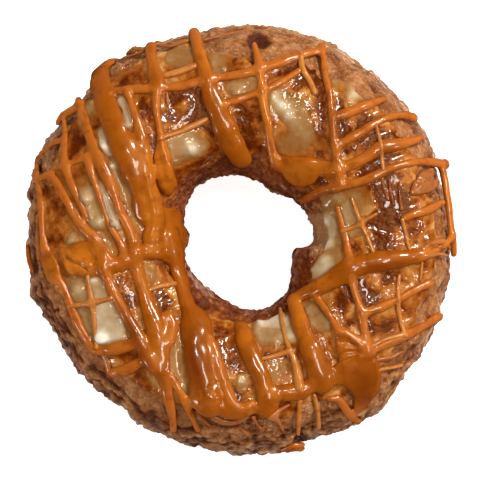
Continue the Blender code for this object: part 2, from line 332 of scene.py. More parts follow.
# Crevices down the rim's side: a depth, then a line of (x, y, width) points.
GROOVES = (
    (0.5, ((-42.4, -9.0, 0.4), (-41.0, -12.0, 0.5), (-39.4, -15.4, 0.5))),
    (0.5, ((-38.4, -15.0, 0.4), (-37.2, -18.4, 0.5), (-36.2, -20.8, 0.4))),
    (0.4, ((-43.6, -2.0, 0.3), (-43.2, -5.0, 0.4), (-42.2, -7.6, 0.3))),
    (0.4, ((-37.2, -11.0, 0.3), (-36.2, -14.4, 0.3), (-35.2, -17.0, 0.3))),
    (0.4, ((-30.6, -26.6, 0.3), (-28.4, -29.4, 0.4), (-25.6, -31.6, 0.3))),
    (0.45, ((-25.0, -31.2, 0.3), (-22.6, -34.0, 0.4), (-20.8, -36.4, 0.3))),
    (0.4, ((-16.0, -38.4, 0.3), (-12.0, -39.8, 0.4), (-8.4, -40.2, 0.3))),
    (0.4, ((-7.0, -38.6, 0.3), (-2.0, -39.4, 0.4), (2.0, -38.6, 0.3))),
    (0.35, ((3.0, -40.2, 0.3), (7.0, -40.6, 0.3), (10.0, -40.2, 0.3))),
    (0.35, ((31.0, -28.4, 0.3), (34.0, -25.4, 0.3), (36.0, -22.6, 0.3))),
    (0.4, ((35.6, 6.6, 0.4), (38.4, 7.8, 0.5), (41.4, 9.6, 0.4))),
    (0.35, ((39.4, 12.6, 0.3), (40.2, 11.4, 0.3))),
    (0.4, ((14.0, 41.2, 0.3), (20.0, 39.0, 0.3), (24.0, 36.4, 0.3))),
)

# Soft spots where the glaze is paler, or darker if the strength is below zero: partly the glaze's own tone,
# partly painted shadow beside and below the strands and painted highlights in the windows. Columns as in
# PALE_GLAZE.
GLAZE_TONES_AND_PAINTED_LIGHT = (
    (1.5, 22.0, 2.0, 6.0, -12, -0.35),
    (-9.0, 25.0, 1.4, 5.0, -12, -0.45),
    (-11.0, 29.8, 4.4, 1.5, -10, -0.75),
    (-14.8, 25.6, 2.0, 2.6, 0, -0.40),
    (-9.2, 27.2, 1.6, 3.4, 0, -0.50),
    (32.0, 7.5, 2.4, 3.4, 10, -0.55),
    (29.2, 7.4, 1.8, 4.8, -5, -0.80),
    (31.5, 17.0, 2.6, 1.0, -10, -0.40),
    (9.6, 34.0, 4.6, 1.5, -20, -0.45),
    (6.4, 36.8, 3.0, 2.2, -15, -0.45),
    (16.0, 28.0, 1.8, 4.2, 5, -0.90),
    (17.0, 11.6, 2.4, 1.6, 20, -0.60),
    (22.6, 18.4, 2.4, 1.1, -20, -0.40),
    (28.6, 14.0, 2.6, 9.0, 0, -0.50),
    (13.0, 32.0, 5.0, 3.0, -30, -0.30),
    (20.8, 25.4, 1.4, 5.0, 0, -0.50),
    (27.0, 23.0, 3.0, 3.0, 0, -0.40),
    (25.0, -11.0, 2.2, 3.4, 0, -0.70),
    (30.4, -8.4, 2.4, 1.4, -15, -0.60),
    (29.4, -19.0, 3.0, 1.6, -20, -0.40),
    (34.0, 6.2, 2.4, 2.0, 0, -0.70),
    (27.6, -1.6, 1.6, 1.4, 0, -0.30),
    (24.4, -1.2, 2.0, 2.2, 0, -0.35),
    (15.6, -2.2, 1.4, 2.4, 0, -0.80),
    (22.0, -13.0, 2.4, 3.6, 20, -0.25),
    (27.0, -12.6, 1.6, 1.0, -20, -0.25),
    (28.4, -9.8, 2.8, 1.7, -25, -0.12),
    (18.0, -22.6, 1.4, 2.6, -10, -0.20),
    (20.6, -13.4, 1.8, 3.0, -28, -0.75),
    (-33.4, 20.8, 1.8, 4.2, -8, -0.10),
    (-37.0, 23.0, 1.4, 1.8, 0, -0.10),
    (-38.6, 6.4, 1.8, 5.4, -8, -0.10),
    (-34.2, 13.4, 1.6, 1.6, 0, -0.15),
    (-23.4, 34.4, 2.6, 3.0, 0, -0.12),
    (-20.2, 27.4, 1.2, 2.2, 0, -0.50),
    (-5.0, 36.4, 2.4, 4.4, 0, 0.70),
    (18.4, 6.6, 2.0, 1.4, -25, -0.20),
    (-17.6, -12.6, 2.2, 1.8, 0, -0.10),
    (-24.6, -9.4, 1.8, 5.0, -18, -0.30),
    (-3.2, -24.4, 1.6, 4.6, -18, -0.25),
    (17.4, -6.4, 2.2, 2.6, 35, 0.30),
    (12.4, 32.0, 4.0, 3.0, -30, -0.50),
    (7.2, -21.6, 2.4, 2.0, -10, -0.30),
    (-12.2, 25.0, 4.0, 1.6, -20, -0.30),
    # inside the windows
    (8.0, 23.8, 1.8, 2.8, -30, -0.50),
    (8.4, 28.0, 1.8, 4.6, -38, 0.65),
    (12.0, 18.6, 5.0, 1.2, 0, -0.15),
    (16.4, 24.0, 1.0, 6.0, -5, -0.25),
    (-10.6, 16.2, 3.4, 1.6, -20, -0.45),
    (-9.8, 18.8, 2.0, 1.6, 0, 0.25),
    (-16.4, -8.0, 1.0, 2.4, -15, -0.30),
    (-18.6, -7.0, 1.2, 1.4, 0, 0.20),
    (-28.6, -20.4, 1.2, 1.4, 0, 0.35),
    (-25.4, -16.4, 1.0, 3.0, -20, -0.15),
    (-23.0, 6.6, 1.0, 2.6, -22, -0.20),
    (-26.2, 15.0, 0.9, 1.4, 0, 0.20),
    (-26.6, -7.0, 1.0, 2.0, 0, 0.15),
    (24.6, 30.4, 1.8, 1.6, 0, 0.35),
    (20.6, 29.6, 1.0, 2.6, 0, -0.40),
    (-1.6, -32.6, 2.0, 1.2, 0, -0.25),
    (0.0, -29.4, 0.9, 0.9, 0, 0.40),
    (-12.2, -31.0, 0.9, 1.2, 0, 0.20),
)

# Little swells of the glaze that catch the light, and whose spots are also painted paler as a painted
# highlight: (x, y, radius, height).
GLINTS = (
    (-29.0, -20.8, 1.3, 0.8),
    (-26.8, 14.8, 0.7, 0.6),
    (-28.4, 18.8, 0.9, 0.7),
    (-29.4, 3.2, 1.2, 0.7),
    (-26.6, 2.9, 0.7, 0.6),
    (-32.2, 8.2, 1.3, 0.6),
    (-23.9, 22.9, 1.0, 0.7),
    (-10.2, 18.2, 1.4, 0.6),
    (-35.0, -0.5, 0.8, 0.6),
    (-20.6, 26.2, 0.7, 0.4),
    (-11.9, 27.9, 1.2, 0.5),
    (-0.9, 30.5, 1.1, 0.4),
    (-3.6, 35.1, 0.6, 0.4),
    (-0.6, -29.8, 0.9, 0.5),
    (-12.6, -31.6, 0.8, 0.5),
    (6.6, 29.2, 0.9, 0.35),
    (8.2, 27.4, 1.0, 0.35),
    (9.8, 25.6, 0.9, 0.35),
    (22.4, 29.2, 1.0, 0.4),
    (-30.6, -8.9, 0.8, 0.6),
    (-33.6, -10.6, 1.3, 0.6),
    (-18.6, -7.4, 1.3, 0.4),
    (28.0, -9.6, 1.3, 0.4),
    (17.8, 3.4, 1.0, 0.4),
    (18.8, 5.4, 0.9, 0.3),
    (18.0, -1.0, 1.0, 0.3),
    (17.4, -4.6, 1.2, 0.3),
    (4.2, -17.6, 1.2, 0.4),
    (10.2, -20.6, 0.8, 0.4),
    (6.6, -21.4, 1.4, 0.3),
    (11.0, -26.0, 0.7, 0.4),
)

# Soft spots where the caramel is darker, or paler if the strength is below zero: partly the caramel's own
# tone, partly painted shade and painted highlights. Columns as in PALE_GLAZE.
CARAMEL_TONES_AND_PAINTED_LIGHT = (
    (-9.0, -25.5, 2.2, 7.5, -10, 1.3),
    (25.4, -31.0, 3.4, 4.6, 0, 0.9),
    (29.0, -5.8, 7.0, 1.2, -8, 0.8),
    (17.0, -28.0, 3.0, 3.0, 0, 0.4),
    (2.4, -27.0, 1.4, 7.0, -14, 0.5),
    (-4.8, 26.0, 1.4, 7.0, -12, 0.4),
    (31.0, 18.2, 3.0, 1.0, -10, 0.7),
    (38.4, 11.6, 4.0, 3.4, 0, 0.25),
    (41.0, -2.4, 3.4, 2.2, 0, 0.15),
    (31.8, 9.0, 2.8, 4.6, 0, 1.5),
    (8.0, -44.0, 2.4, 1.6, 0, 1.0),
    (-18.0, 3.0, 2.6, 6.4, 0, -0.9),
    (43.0, 4.0, 1.6, 9.0, 0, -0.7),
    (12.6, -17.0, 1.6, 4.0, -10, -1.3),
    (1.0, -20.6, 1.6, 2.0, 0, -0.9),
    (5.6, -31.6, 2.4, 2.4, 0, -0.4),
    (-2.0, -32.4, 1.6, 2.4, 0, -0.4),
    (-11.6, -33.0, 1.2, 4.0, -20, -0.7),
    (-17.4, -21.2, 1.6, 3.0, 0, -0.5),
    (23.0, 14.8, 3.0, 3.6, 0, -0.4),
    (-35.4, 26.0, 2.4, 2.4, 0, -1.2),
    (-34.4, 16.6, 1.6, 3.0, 0, -0.4),
    (-16.4, 15.6, 3.0, 5.2, 0, -1.5),
    (40.0, -2.0, 3.0, 2.0, 0, -0.4),
    (4.8, 28.0, 1.8, 5.0, 0, -1.5),
    (-22.6, -18.4, 1.6, 4.4, -20, 1.0),
    (-16.4, -30.0, 1.4, 5.0, -10, 0.5),
    (28.0, 22.4, 6.0, 2.0, -20, 0.35),
    (16.4, 9.4, 3.4, 1.4, -20, 0.5),
    (-33.0, -4.4, 4.0, 3.2, 0, -1.3),
    (-39.4, -5.0, 2.0, 4.0, 0, -0.5),
    (12.6, 14.0, 4.0, 2.4, 0, -0.9),
    (-24.6, 3.0, 1.6, 3.0, -20, -0.6),
    (23.0, -22.0, 2.6, 3.0, 0, -0.4),
    (16.0, -8.6, 2.6, 1.8, 0, -1.2),
    (20.0, 24.5, 1.3, 5.6, 0, 0.7),
    (-20.2, -25.6, 1.4, 5.0, -14, 0.6),
    (-7.0, 38.0, 2.0, 4.0, 0, -0.7),
)

# Where the glaze ends towards the rim and towards the hole: (direction in degrees, distance from
# the middle).
GLAZE_RIM = (
    (0, 41.0), (30, 39.5), (60, 38.5), (75, 38.0), (85, 36.5), (95, 38.5), (105, 41.0), (125, 43.0),
    (150, 43.0), (180, 42.0), (205, 38.5), (250, 37.0), (270, 37.5), (315, 39.5), (360, 41.0),
)
GLAZE_HOLE = (
    (0, 17.0), (60, 16.5), (110, 17.0), (180, 15.0), (235, 15.5), (290, 17.5), (322, 17.0),
    (336, 14.4), (350, 16.4), (360, 17.0),
)

# Folds and creases of the caramel: a height, below zero for a crease, and (x, y, width) points.
FOLDS = (
    # the crumpled tongue at the left
    (0.35, ((-37.3, -2.3, 0.35), (-36.5, -4.2, 0.35), (-35.9, -6.2, 0.35), (-35.0, -7.9, 0.3))),
    (0.30, ((-36.0, -3.0, 0.4), (-34.4, -4.2, 0.45), (-32.9, -4.8, 0.5), (-31.4, -5.6, 0.5))),
    (-0.45, ((-36.2, -3.9, 0.3), (-34.7, -5.1, 0.35), (-33.1, -5.7, 0.4), (-31.9, -6.5, 0.35))),
    (0.25, ((-34.6, -1.7, 0.5), (-32.4, -1.0, 0.5), (-30.8, -2.2, 0.5), (-29.6, -4.0, 0.5))),
    # crests that catch the light on the upper left strands
    (0.60, ((-16.6, 21.0, 0.5), (-16.0, 18.0, 0.55), (-15.3, 15.0, 0.55), (-14.9, 12.4, 0.5))),
    (0.45, ((-15.2, 17.6, 0.4), (-14.7, 15.0, 0.45), (-14.1, 12.6, 0.45), (-13.6, 10.6, 0.4))),
    (0.30, ((-18.3, 20.4, 0.4), (-17.8, 18.4, 0.45), (-17.9, 16.4, 0.4))),
    (0.35, ((-19.6, 13.0, 0.4), (-18.9, 9.5, 0.45), (-18.0, 5.6, 0.45), (-17.9, 3.0, 0.45),
            (-18.6, 0.6, 0.4))),
    # strand B's bottom
    (-0.20, ((-6.6, -31.2, 0.4), (-5.4, -30.4, 0.45), (-4.0, -29.9, 0.4))),
    (-0.18, ((-8.0, -31.6, 0.4), (-7.7, -33.0, 0.4), (-8.2, -34.6, 0.4))),
    (0.12, ((-7.0, -32.6, 0.5), (-5.6, -33.2, 0.6), (-4.2, -32.8, 0.5))),
    (-0.20, ((-3.6, -33.6, 0.4), (-4.2, -35.2, 0.4), (-3.8, -36.6, 0.35))),
    # the folded ribbon at the lower right
    (0.28, ((21.8, -19.4, 0.4), (23.3, -20.6, 0.45), (25.0, -22.2, 0.45))),
    (-0.25, ((20.6, -21.6, 0.4), (22.2, -21.7, 0.4), (24.0, -22.4, 0.4))),
    (0.20, ((21.8, -22.8, 0.4), (23.2, -23.0, 0.4), (24.8, -22.9, 0.4))),
    (-0.25, ((20.2, -24.6, 0.35), (22.4, -23.6, 0.35), (24.8, -23.6, 0.35))),
    (-0.30, ((20.6, -25.9, 0.35), (22.8, -25.2, 0.35), (24.9, -24.0, 0.3))),
    # the films at the right
    (-0.25, ((36.4, 12.2, 0.4), (38.0, 11.4, 0.35), (40.2, 12.4, 0.4))),
    (0.25, ((37.0, 10.2, 0.3), (38.6, 12.6, 0.35), (39.0, 13.8, 0.3))),
    (-0.25, ((39.0, -2.0, 0.35), (41.0, -1.6, 0.35), (42.4, -2.8, 0.35))),
    (0.32, ((28.0, -25.6, 0.35), (28.5, -28.2, 0.4), (28.1, -31.0, 0.4), (26.9, -33.2, 0.35))),
)

# ---------------------------------------------------------------- noise
LATTICE = 32
RANDOM = np.random.default_rng(20)
GRADIENTS = RANDOM.normal(size=(LATTICE, LATTICE, LATTICE, 3))
GRADIENTS /= np.linalg.norm(GRADIENTS, axis=-1, keepdims=True)


def gradient_noise(points):
    """Smooth noise of wavelength 1 at (n, 3) points, from about -0.7 to 0.7."""
    cell = np.floor(points).astype(int)
    inside = points - cell
    fade = inside**3 * (inside * (inside * 6 - 15) + 10)
    total = np.zeros(len(points))
    for corner in itertools.product((0, 1), repeat=3):
        corner = np.array(corner)
        x, y, z = ((cell + corner) % LATTICE).T
        weight = np.prod(np.where(corner, fade, 1 - fade), axis=1)
        total += weight * np.einsum("ij,ij->i", GRADIENTS[x, y, z], inside - corner)
    return total


def bumps(points, spacing, octaves=1, shift=0.0):
    """Noise of unit height about spacing mm apart, with finer noise on it."""
    total = np.zeros(len(points))
    for octave in range(octaves):
        scaled = points * (2**octave / spacing) + shift + 9.7 * octave
        total += 0.5**octave * gradient_noise(scaled)
    return 1.6 * total


def smoothstep(low, high, values):
    share = np.clip((values - low) / (high - low), 0, 1)
    return share * share * (3 - 2 * share)


# ---------------------------------------------------------------- the dough's surface
GIRTH_HEIGHT = 13.5
CAMERA_DISTANCE = 600.0  # from the camera down to the girth


def seen_plan(points):
    """Plan positions of (n, 3) points as the camera sees them: what is higher looks further out."""
    return points[:, :2] * (CAMERA_DISTANCE / (CAMERA_DISTANCE + GIRTH_HEIGHT - points[:, 2:]))


SAMPLE_DIRECTIONS = 224
SAMPLE_TURNS = 128
DIRECTIONS = 740
TURNS = 512
KEEP_DIRECTIONS = 60  # waves round the ring that outlast the smoothing of the CAD facets
KEEP_TURNS = 22
TABLE_STEP = 0.1
TABLE_REACH = 62.0
LOWEST_TURN = math.radians(-62)  # how far down each side a strand may run


def core_circle(tree, height):
    """Radius of the circle inside the dough from which its surface is sampled."""
    middle = Vector((0, 0, height * MM))
    radii = []
    for direction in np.linspace(0, math.tau, 72, endpoint=False):
        outward = Vector((math.cos(direction), math.sin(direction), 0))
        hole = tree.ray_cast(middle, outward)[0]
        rim = tree.ray_cast(middle + outward, -outward)[0]
        radii.append((hole.length_squared, rim.length_squared))
    flat = np.sqrt(np.array(radii) - (height * MM) ** 2) / MM
    return float(flat.mean())


def resample(values, shape, keep):
    """Evenly spaced values over two full circles, smoothed and resampled to another shape."""
    spectrum = np.fft.fftshift(np.fft.fft2(values))
    waves = [np.arange(count) - count // 2 for count in values.shape]
    spectrum *= np.exp(-((waves[0][:, None] / keep[0]) ** 2) - (waves[1] / keep[1]) ** 2)
    padded = np.zeros(shape, complex)
    first = [shape[axis] // 2 - values.shape[axis] // 2 for axis in (0, 1)]
    rows = slice(first[0], first[0] + values.shape[0])
    columns = slice(first[1], first[1] + values.shape[1])
    padded[rows, columns] = spectrum
    return np.fft.ifft2(np.fft.ifftshift(padded)).real * (padded.size / values.size)


class Dough:
    """The CAD ring's surface without its facets, and a table that drapes plan points over it."""

    def __init__(self, node):
        low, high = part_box(node)
        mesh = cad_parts[node].data
        tree = BVHTree.FromPolygons([v.co for v in mesh.vertices], [p.vertices for p in mesh.polygons])
        self.height = (low.z + high.z) / 2 / MM
        self.core = core_circle(tree, self.height)
        self.directions = np.linspace(0, math.tau, DIRECTIONS, endpoint=False)
        self.turns = np.linspace(0, math.tau, TURNS, endpoint=False)
        self.reach = resample(self.sampled(tree), (DIRECTIONS, TURNS), (KEEP_DIRECTIONS, KEEP_TURNS))
        self.fill_table()

    def sampled(self, tree):
        """Distance from the core circle to the CAD surface, over directions and turns."""
        distances = np.empty((SAMPLE_DIRECTIONS, SAMPLE_TURNS))
        for i, direction in enumerate(np.linspace(0, math.tau, SAMPLE_DIRECTIONS, endpoint=False)):
            outward = Vector((math.cos(direction), math.sin(direction), 0))
            origin = outward * (self.core * MM) + Vector((0, 0, self.height * MM))
            for j, turn in enumerate(np.linspace(0, math.tau, SAMPLE_TURNS, endpoint=False)):
                ray = outward * math.cos(turn) + Vector((0, 0, math.sin(turn)))
                distances[i, j] = tree.ray_cast(origin, ray)[3] / MM
        return distances

    def section(self, turns):
        """(radius, height) of the smooth surface at every direction, for each of these turns."""
        wrapped = np.concatenate((self.turns, [math.tau]))
        closed = np.concatenate((self.reach, self.reach[:, :1]), axis=1)
        reach = np.array([np.interp(turns % math.tau, wrapped, row) for row in closed])
        return self.core + reach * np.cos(turns), np.maximum(self.height + reach * np.sin(turns), 0)

    def fill_table(self):
        """Radius and height against plan distance. Past the rim, or inside the hole's edge, plan
        distance goes on as length down the side."""
        turns = np.linspace(math.pi - LOWEST_TURN, LOWEST_TURN, 700)
        radius, height = self.section(turns)
        plan = np.arange(0, TABLE_REACH, TABLE_STEP)
        self.table = np.empty((DIRECTIONS, len(plan), 2))
        self.edges = np.empty((DIRECTIONS, 2))
        for i in range(DIRECTIONS):
            hole, rim = np.argmin(radius[i]), np.argmax(radius[i])
            self.edges[i] = radius[i, hole], radius[i, rim]
            run = np.diff(radius[i])
            length = np.hypot(run, np.diff(height[i]))
            on_top = (np.arange(len(run)) >= hole) & (np.arange(len(run)) < rim)
            step = np.where(on_top, np.maximum(run, 1e-4), length)
            distance = np.concatenate(([0], np.cumsum(step)))
            distance += radius[i, hole] - distance[hole]
            self.table[i, :, 0] = np.interp(plan, distance, radius[i])
            self.table[i, :, 1] = np.interp(plan, distance, height[i])

    def look_up(self, direction, distance):
        """(radius, height) from the table, blended between its entries."""
        row = direction / math.tau * DIRECTIONS
        column = np.clip(distance / TABLE_STEP, 0, self.table.shape[1] - 2)
        i, j = np.floor(row).astype(int), np.floor(column).astype(int)
        a, b = (row - i)[:, None], (column - j)[:, None]
        i, following = i % DIRECTIONS, (i + 1) % DIRECTIONS
        near = self.table[i, j] * (1 - b) + self.table[i, j + 1] * b
        far = self.table[following, j] * (1 - b) + self.table[following, j + 1] * b
        return near * (1 - a) + far * a

    def drape(self, plan):
        """(points, outward normals) on the surface, for (n, 2) plan positions."""
        direction = np.arctan2(plan[:, 1], plan[:, 0]) % math.tau
        distance = np.hypot(plan[:, 0], plan[:, 1])
        middle = self.look_up(direction, distance)
        slope = self.look_up(direction, distance + 0.4) - self.look_up(direction, distance - 0.4)
        slope /= np.linalg.norm(slope, axis=1, keepdims=True) + 1e-9
        outward = np.stack((np.cos(direction), np.sin(direction)), axis=1)
        points = np.column_stack((outward * middle[:, :1], middle[:, 1]))
        normals = np.column_stack((outward * -slope[:, 1:], slope[:, 0]))
        return points, normals

    def grid(self, turns):
        """(points, outward normals) over all directions and these turns."""
        radius, height = self.section(turns)
        outward = np.stack((np.cos(self.directions), np.sin(self.directions)), axis=1)
        points = np.concatenate((outward[:, None] * radius[..., None], height[..., None]), axis=2)
        round_ring = np.roll(points, -1, 0) - np.roll(points, 1, 0)
        radius_ahead, height_ahead = self.section(turns + 0.02)
        radius_behind, height_behind = self.section(turns - 0.02)
        across = np.concatenate(
            (
                outward[:, None] * (radius_ahead - radius_behind)[..., None],
                (height_ahead - height_behind)[..., None],
            ),
            axis=2,
        )
        normals = np.cross(round_ring, across)
        normals /= np.linalg.norm(normals, axis=2, keepdims=True)
        return points, normals


# ---------------------------------------------------------------- meshes
def make_piece(name, points, faces, attributes, material):
    """A closed, smooth-shaded mesh piece that rides with the ring and stands for its CAD node."""
    mesh = bpy.data.meshes.new(name)
    mesh.vertices.add(len(points))
    mesh.vertices.foreach_set("co", (points * MM).astype(np.float32).ravel())
    mesh.loops.add(faces.size)
    mesh.loops.foreach_set("vertex_index", faces.astype(np.int32).ravel())
    mesh.polygons.add(len(faces))
    mesh.polygons.foreach_set("loop_start", np.arange(0, faces.size, 4, dtype=np.int32))
    mesh.update(calc_edges=True)
    mesh.validate()
    mesh.shade_smooth()
    for attribute, values in attributes.items():
        is_vector = values.size == 3 * len(points)
        layer = mesh.attributes.new(attribute, "FLOAT_VECTOR" if is_vector else "FLOAT", "POINT")
        layer.data.foreach_set("vector" if is_vector else "value", values.astype(np.float32).ravel())
    mesh.materials.append(material)
    piece = bpy.data.objects.new(name, mesh)
    bpy.context.scene.collection.objects.link(piece)
    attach(piece, "root")
    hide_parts(RING)


def ring_faces(rows, columns):
    """Quads of a mesh that closes on itself both round the ring and round the section."""
    index = np.arange(rows * columns).reshape(rows, columns)
    ahead = np.roll(index, -1, 0)
    corners = (index, ahead, np.roll(ahead, -1, 1), np.roll(index, -1, 1))
    return np.stack(corners, axis=-1).reshape(-1, 4)


# ---------------------------------------------------------------- crust and glaze
CRUST_TURNS = 130
HIDDEN_SHARE = 0.15  # how closely the base and the crust under the glaze are divided


def crust_turns(count):
    """Turns round the section, closer together where the crust shows."""
    fine = np.linspace(0, math.tau, 2001)
    rise = np.sin(fine)
    seen = smoothstep(-0.85, -0.5, rise) * smoothstep(0.98, 0.85, rise)
    density = HIDDEN_SHARE + (1 - HIDDEN_SHARE) * seen
    run = np.concatenate(([0], np.cumsum((density[1:] + density[:-1]) / 2)))
    return np.interp(np.linspace(0, run[-1], count, endpoint=False), run, fine)


def layer_coordinates(flat, turns):
    """Noise coordinates stretched round the ring, for the layered wrinkles of the rim."""
    direction = np.arctan2(flat[:, 1], flat[:, 0])
    swing = 0.22 * bumps(flat, 5.0, 1, 2.0)
    return np.column_stack((np.cos(direction) * 5.0, np.sin(direction) * 5.0, turns * 13 + 1.5 * swing))


def line_distance(plan, line):
    """(distance, width) from (n, 2) plan positions to a line of (x, y, width) points."""
    best = np.full(len(plan), 1e9)
    width = np.ones(len(plan))
    for start, stop in zip(line, line[1:]):
        start, stop = np.array(start), np.array(stop)
        along = stop[:2] - start[:2]
        share = np.clip((plan - start[:2]) @ along / (along @ along), 0, 1)
        away = np.linalg.norm(plan - start[:2] - share[:, None] * along, axis=1)
        near = away < best
        best = np.where(near, away, best)
        width = np.where(near, start[2] + share * (stop[2] - start[2]), width)
    return best, width


RIM_SINK = 0.35  # how far the rough crust lies under the smooth dough, at the rim and in the hole
HOLE_SINK = 0.45
CRACK_WIDTH = 0.22  # as a share of the noise whose zero line the cracks follow
HOLLOWS_ABOVE = 4.0  # pits and grooves leave what is below this height alone


def cracks(coordinates, shift):
    """Thin winding lines over these noise coordinates, from 1 at their middle down to 0."""
    return np.exp(-((bumps(coordinates, 1.0, 2, shift) / CRACK_WIDTH) ** 2))


def rim_relief(flat, turns, direction):
    """(lumps, fine relief) of the rim's layered and craggy side, calmer below the girth."""
    calm = 1 - 0.75 * smoothstep(0.0, -0.4, np.sin(turns))
    craggy = between(CRAGS, direction)
    layers = layer_coordinates(flat, turns)
    lumps = 0.42 * bumps(flat, 3.0, 2, 1.0) + between(RIM_OFFSET, direction) - RIM_SINK
    lumps += calm * craggy * 0.45 * bumps(flat, 3.8, 1, 31.0)
    fine = 0.22 * bumps(flat, 1.7, 1, 15.0) + 0.10
    fine += calm * craggy * (0.30 * bumps(flat, 1.9, 2, 35.0) + 0.08)
    fine -= calm * craggy * 0.60 * cracks(layers * (1.7, 1.7, 0.34), 33.0)
    # layered wrinkles that run round the ring
    fine -= calm * (0.20 + 0.25 * craggy) * cracks(layers * (1.3, 1.3, 0.5), 2.0)
    return lumps, fine


def hollows(flat):
    """How deep the pits and the grooves go at (n, 3) points."""
    plan = seen_plan(flat)
    total = np.zeros(len(plan))
    for x, y, radius, depth in PITS:
        total += depth * np.exp(-((plan - (x, y)) ** 2).sum(axis=1) / radius**2)
    swaying = plan + 0.3 * bumps(flat, 2.5, 2, 14.0)[:, None]
    for depth, line in GROOVES:
        distance, width = line_distance(swaying, line)
        total += depth * np.exp(-((distance / width) ** 2))
    return total * (flat[:, 2] > HOLLOWS_ABOVE)


def crust_relief(points, turns):
    """(height of the fried crust over the smooth dough, its fine part) at (rows, columns, 3) points."""
    shape = points.shape[:2]
    flat = points.reshape(-1, 3)
    turns = np.broadcast_to(turns, shape).ravel()
    direction = np.arctan2(flat[:, 1], flat[:, 0])
    side = smoothstep(0.85, 0.4, np.sin(turns))
    hole_side = side * smoothstep(0.1, -0.3, np.cos(turns))
    rim_side = side * smoothstep(-0.1, 0.3, np.cos(turns))
    rim_lumps, rim_fine = rim_relief(flat, turns, direction)
    hole_lumps = 0.45 * bumps(flat, 2.6, 2, 6.0) + between(HOLE_OFFSET, direction) - HOLE_SINK
    lumps = 0.28 * bumps(flat, 6.0, 2, 3.0) + rim_side * rim_lumps + hole_side * hole_lumps
    fine = 0.16 * bumps(flat, 2.2, 2, 5.0) + (0.16 + 0.14 * side) * bumps(flat, 1.1, 2, 8.0)
    fine += rim_side * rim_fine - hollows(flat)
    return (lumps + fine).reshape(shape), fine.reshape(shape)


def soft_max(a, b, reach):
    """The greater of two arrays, rounded off where they are within reach of each other."""
    mix = np.clip(0.5 + 0.5 * (a - b) / reach, 0, 1)
    return b + (a - b) * mix + reach * mix * (1 - mix)


def between(table, direction):
    """A value given at a few directions in degrees, blended in between."""
    degrees, values = np.array(table).T
    return np.interp(np.degrees(direction) % 360, degrees, values)


def within(patch, plan):
    """How far plan positions lie from a patch's middle, across and along it, in its own radii."""
    x, y, across, along, lean, _ = patch
    turn = math.radians(lean)
    away = plan - (x, y)
    side = (away[:, 0] * math.cos(turn) - away[:, 1] * math.sin(turn)) / across
    length = (away[:, 0] * math.sin(turn) + away[:, 1] * math.cos(turn)) / along
    return side, length


def windows(table, plan):
    """The strongest of a table's squarish, soft-edged windows at (n, 2) plan positions, from 0."""
    total = np.zeros(len(plan))
    for patch in table:
        side, length = within(patch, plan)
        away = (np.abs(side) ** 3 + np.abs(length) ** 3) ** (1 / 3)
        total = np.maximum(total, patch[-1] * smoothstep(1.45, 0.85, away))
    return total


def tones(table, plan):
    """The sum of a table's soft spots, whose strengths may be below zero, at (n, 2) plan positions."""
    total = np.zeros(len(plan))
    for patch in table:
        side, length = within(patch, plan)
        total += patch[-1] * np.exp(-(side**2) - length**2)
    return total


def crease_coordinates(flat):
    """Noise coordinates stretched along the glaze's creases, which run down from the upper left."""
    along = flat @ (0.4, -0.9, 0.0)
    across = flat @ (0.9, 0.4, 0.0)
    return np.column_stack((0.45 * along, across, flat[:, 2]))


HIDDEN_DEPTH = 2.8  # how far under the smooth dough the glaze runs where none shows


def glaze_cover(flat, turns):
    """1 where the glaze lies and 0 where the crust is bare, at (n, 3) points and their turns."""
    direction = np.arctan2(flat[:, 1], flat[:, 0])
    radius = np.hypot(flat[:, 0], flat[:, 1])
    ragged = 1.6 * bumps(flat, 5.0, 2, 4.0)
    rim = smoothstep(1.5, -1.5, radius + ragged - between(GLAZE_RIM, direction))
    hole = smoothstep(-1.2, 1.2, radius + 0.6 * ragged - between(GLAZE_HOLE, direction))
    return rim * hole * smoothstep(0.1, 0.35, np.sin(turns))


def climbing(feet, pours):
    """How high the glaze climbs the caramel beside these points."""
    climb = np.zeros(len(feet))
    for pour, height, reach in pours:
        climb = np.maximum(climb, height * np.exp(-np.maximum(pour.distance(feet), 0) / reach))
    return climb


def swells(plan):
    """How high the little swells of GLINTS stand at (n, 2) plan positions."""
    total = np.zeros(len(plan))
    for x, y, radius, height in GLINTS:
        total += height * np.exp(-((plan - (x, y)) ** 2).sum(axis=1) / radius**2)
    return total


def glaze_level(points, normals, turns, pours):
    """(height over the smooth dough, paleness with painted shadows and painted highlights in it, climb up
    the caramel, crinkledness) of the glaze at (rows, columns, 3) points."""
    shape = points.shape[:2]
    flat = points.reshape(-1, 3)
    cover = glaze_cover(flat, np.broadcast_to(turns, shape).ravel())
    shifted = seen_plan(flat) + 0.5 * bumps(flat, 3.0, 2, 7.0)[:, None]
    pale = windows(PALE_GLAZE, shifted)
    level = 0.06 + 0.14 * bumps(flat, 5.0, 2, 9.0) + 0.34 * pale
    film = 0.8 * crust_relief(points, turns)[0].ravel() + 0.07
    level = soft_max(level, film, 0.2)
    climb = climbing(flat + 0.3 * normals.reshape(-1, 3), pours)
    climb *= 0.5 + 0.5 * np.clip(pale, 0, 1)
    crinkled = swells(seen_plan(flat))
    creases = np.abs(bumps(crease_coordinates(flat), 1.6, 2, 41.0))
    level += climb + crinkled + 0.45 * np.clip(crinkled, 0, 1) * creases
    level = level * cover - HIDDEN_DEPTH * (1 - cover)
    # painted light: the tones add painted shadows and painted highlights, and the swells are painted paler
    # as a painted highlight
    pale += tones(GLAZE_TONES_AND_PAINTED_LIGHT, shifted) + 0.45 * crinkled
    return [values.reshape(shape) for values in (level, pale, climb, crinkled)]


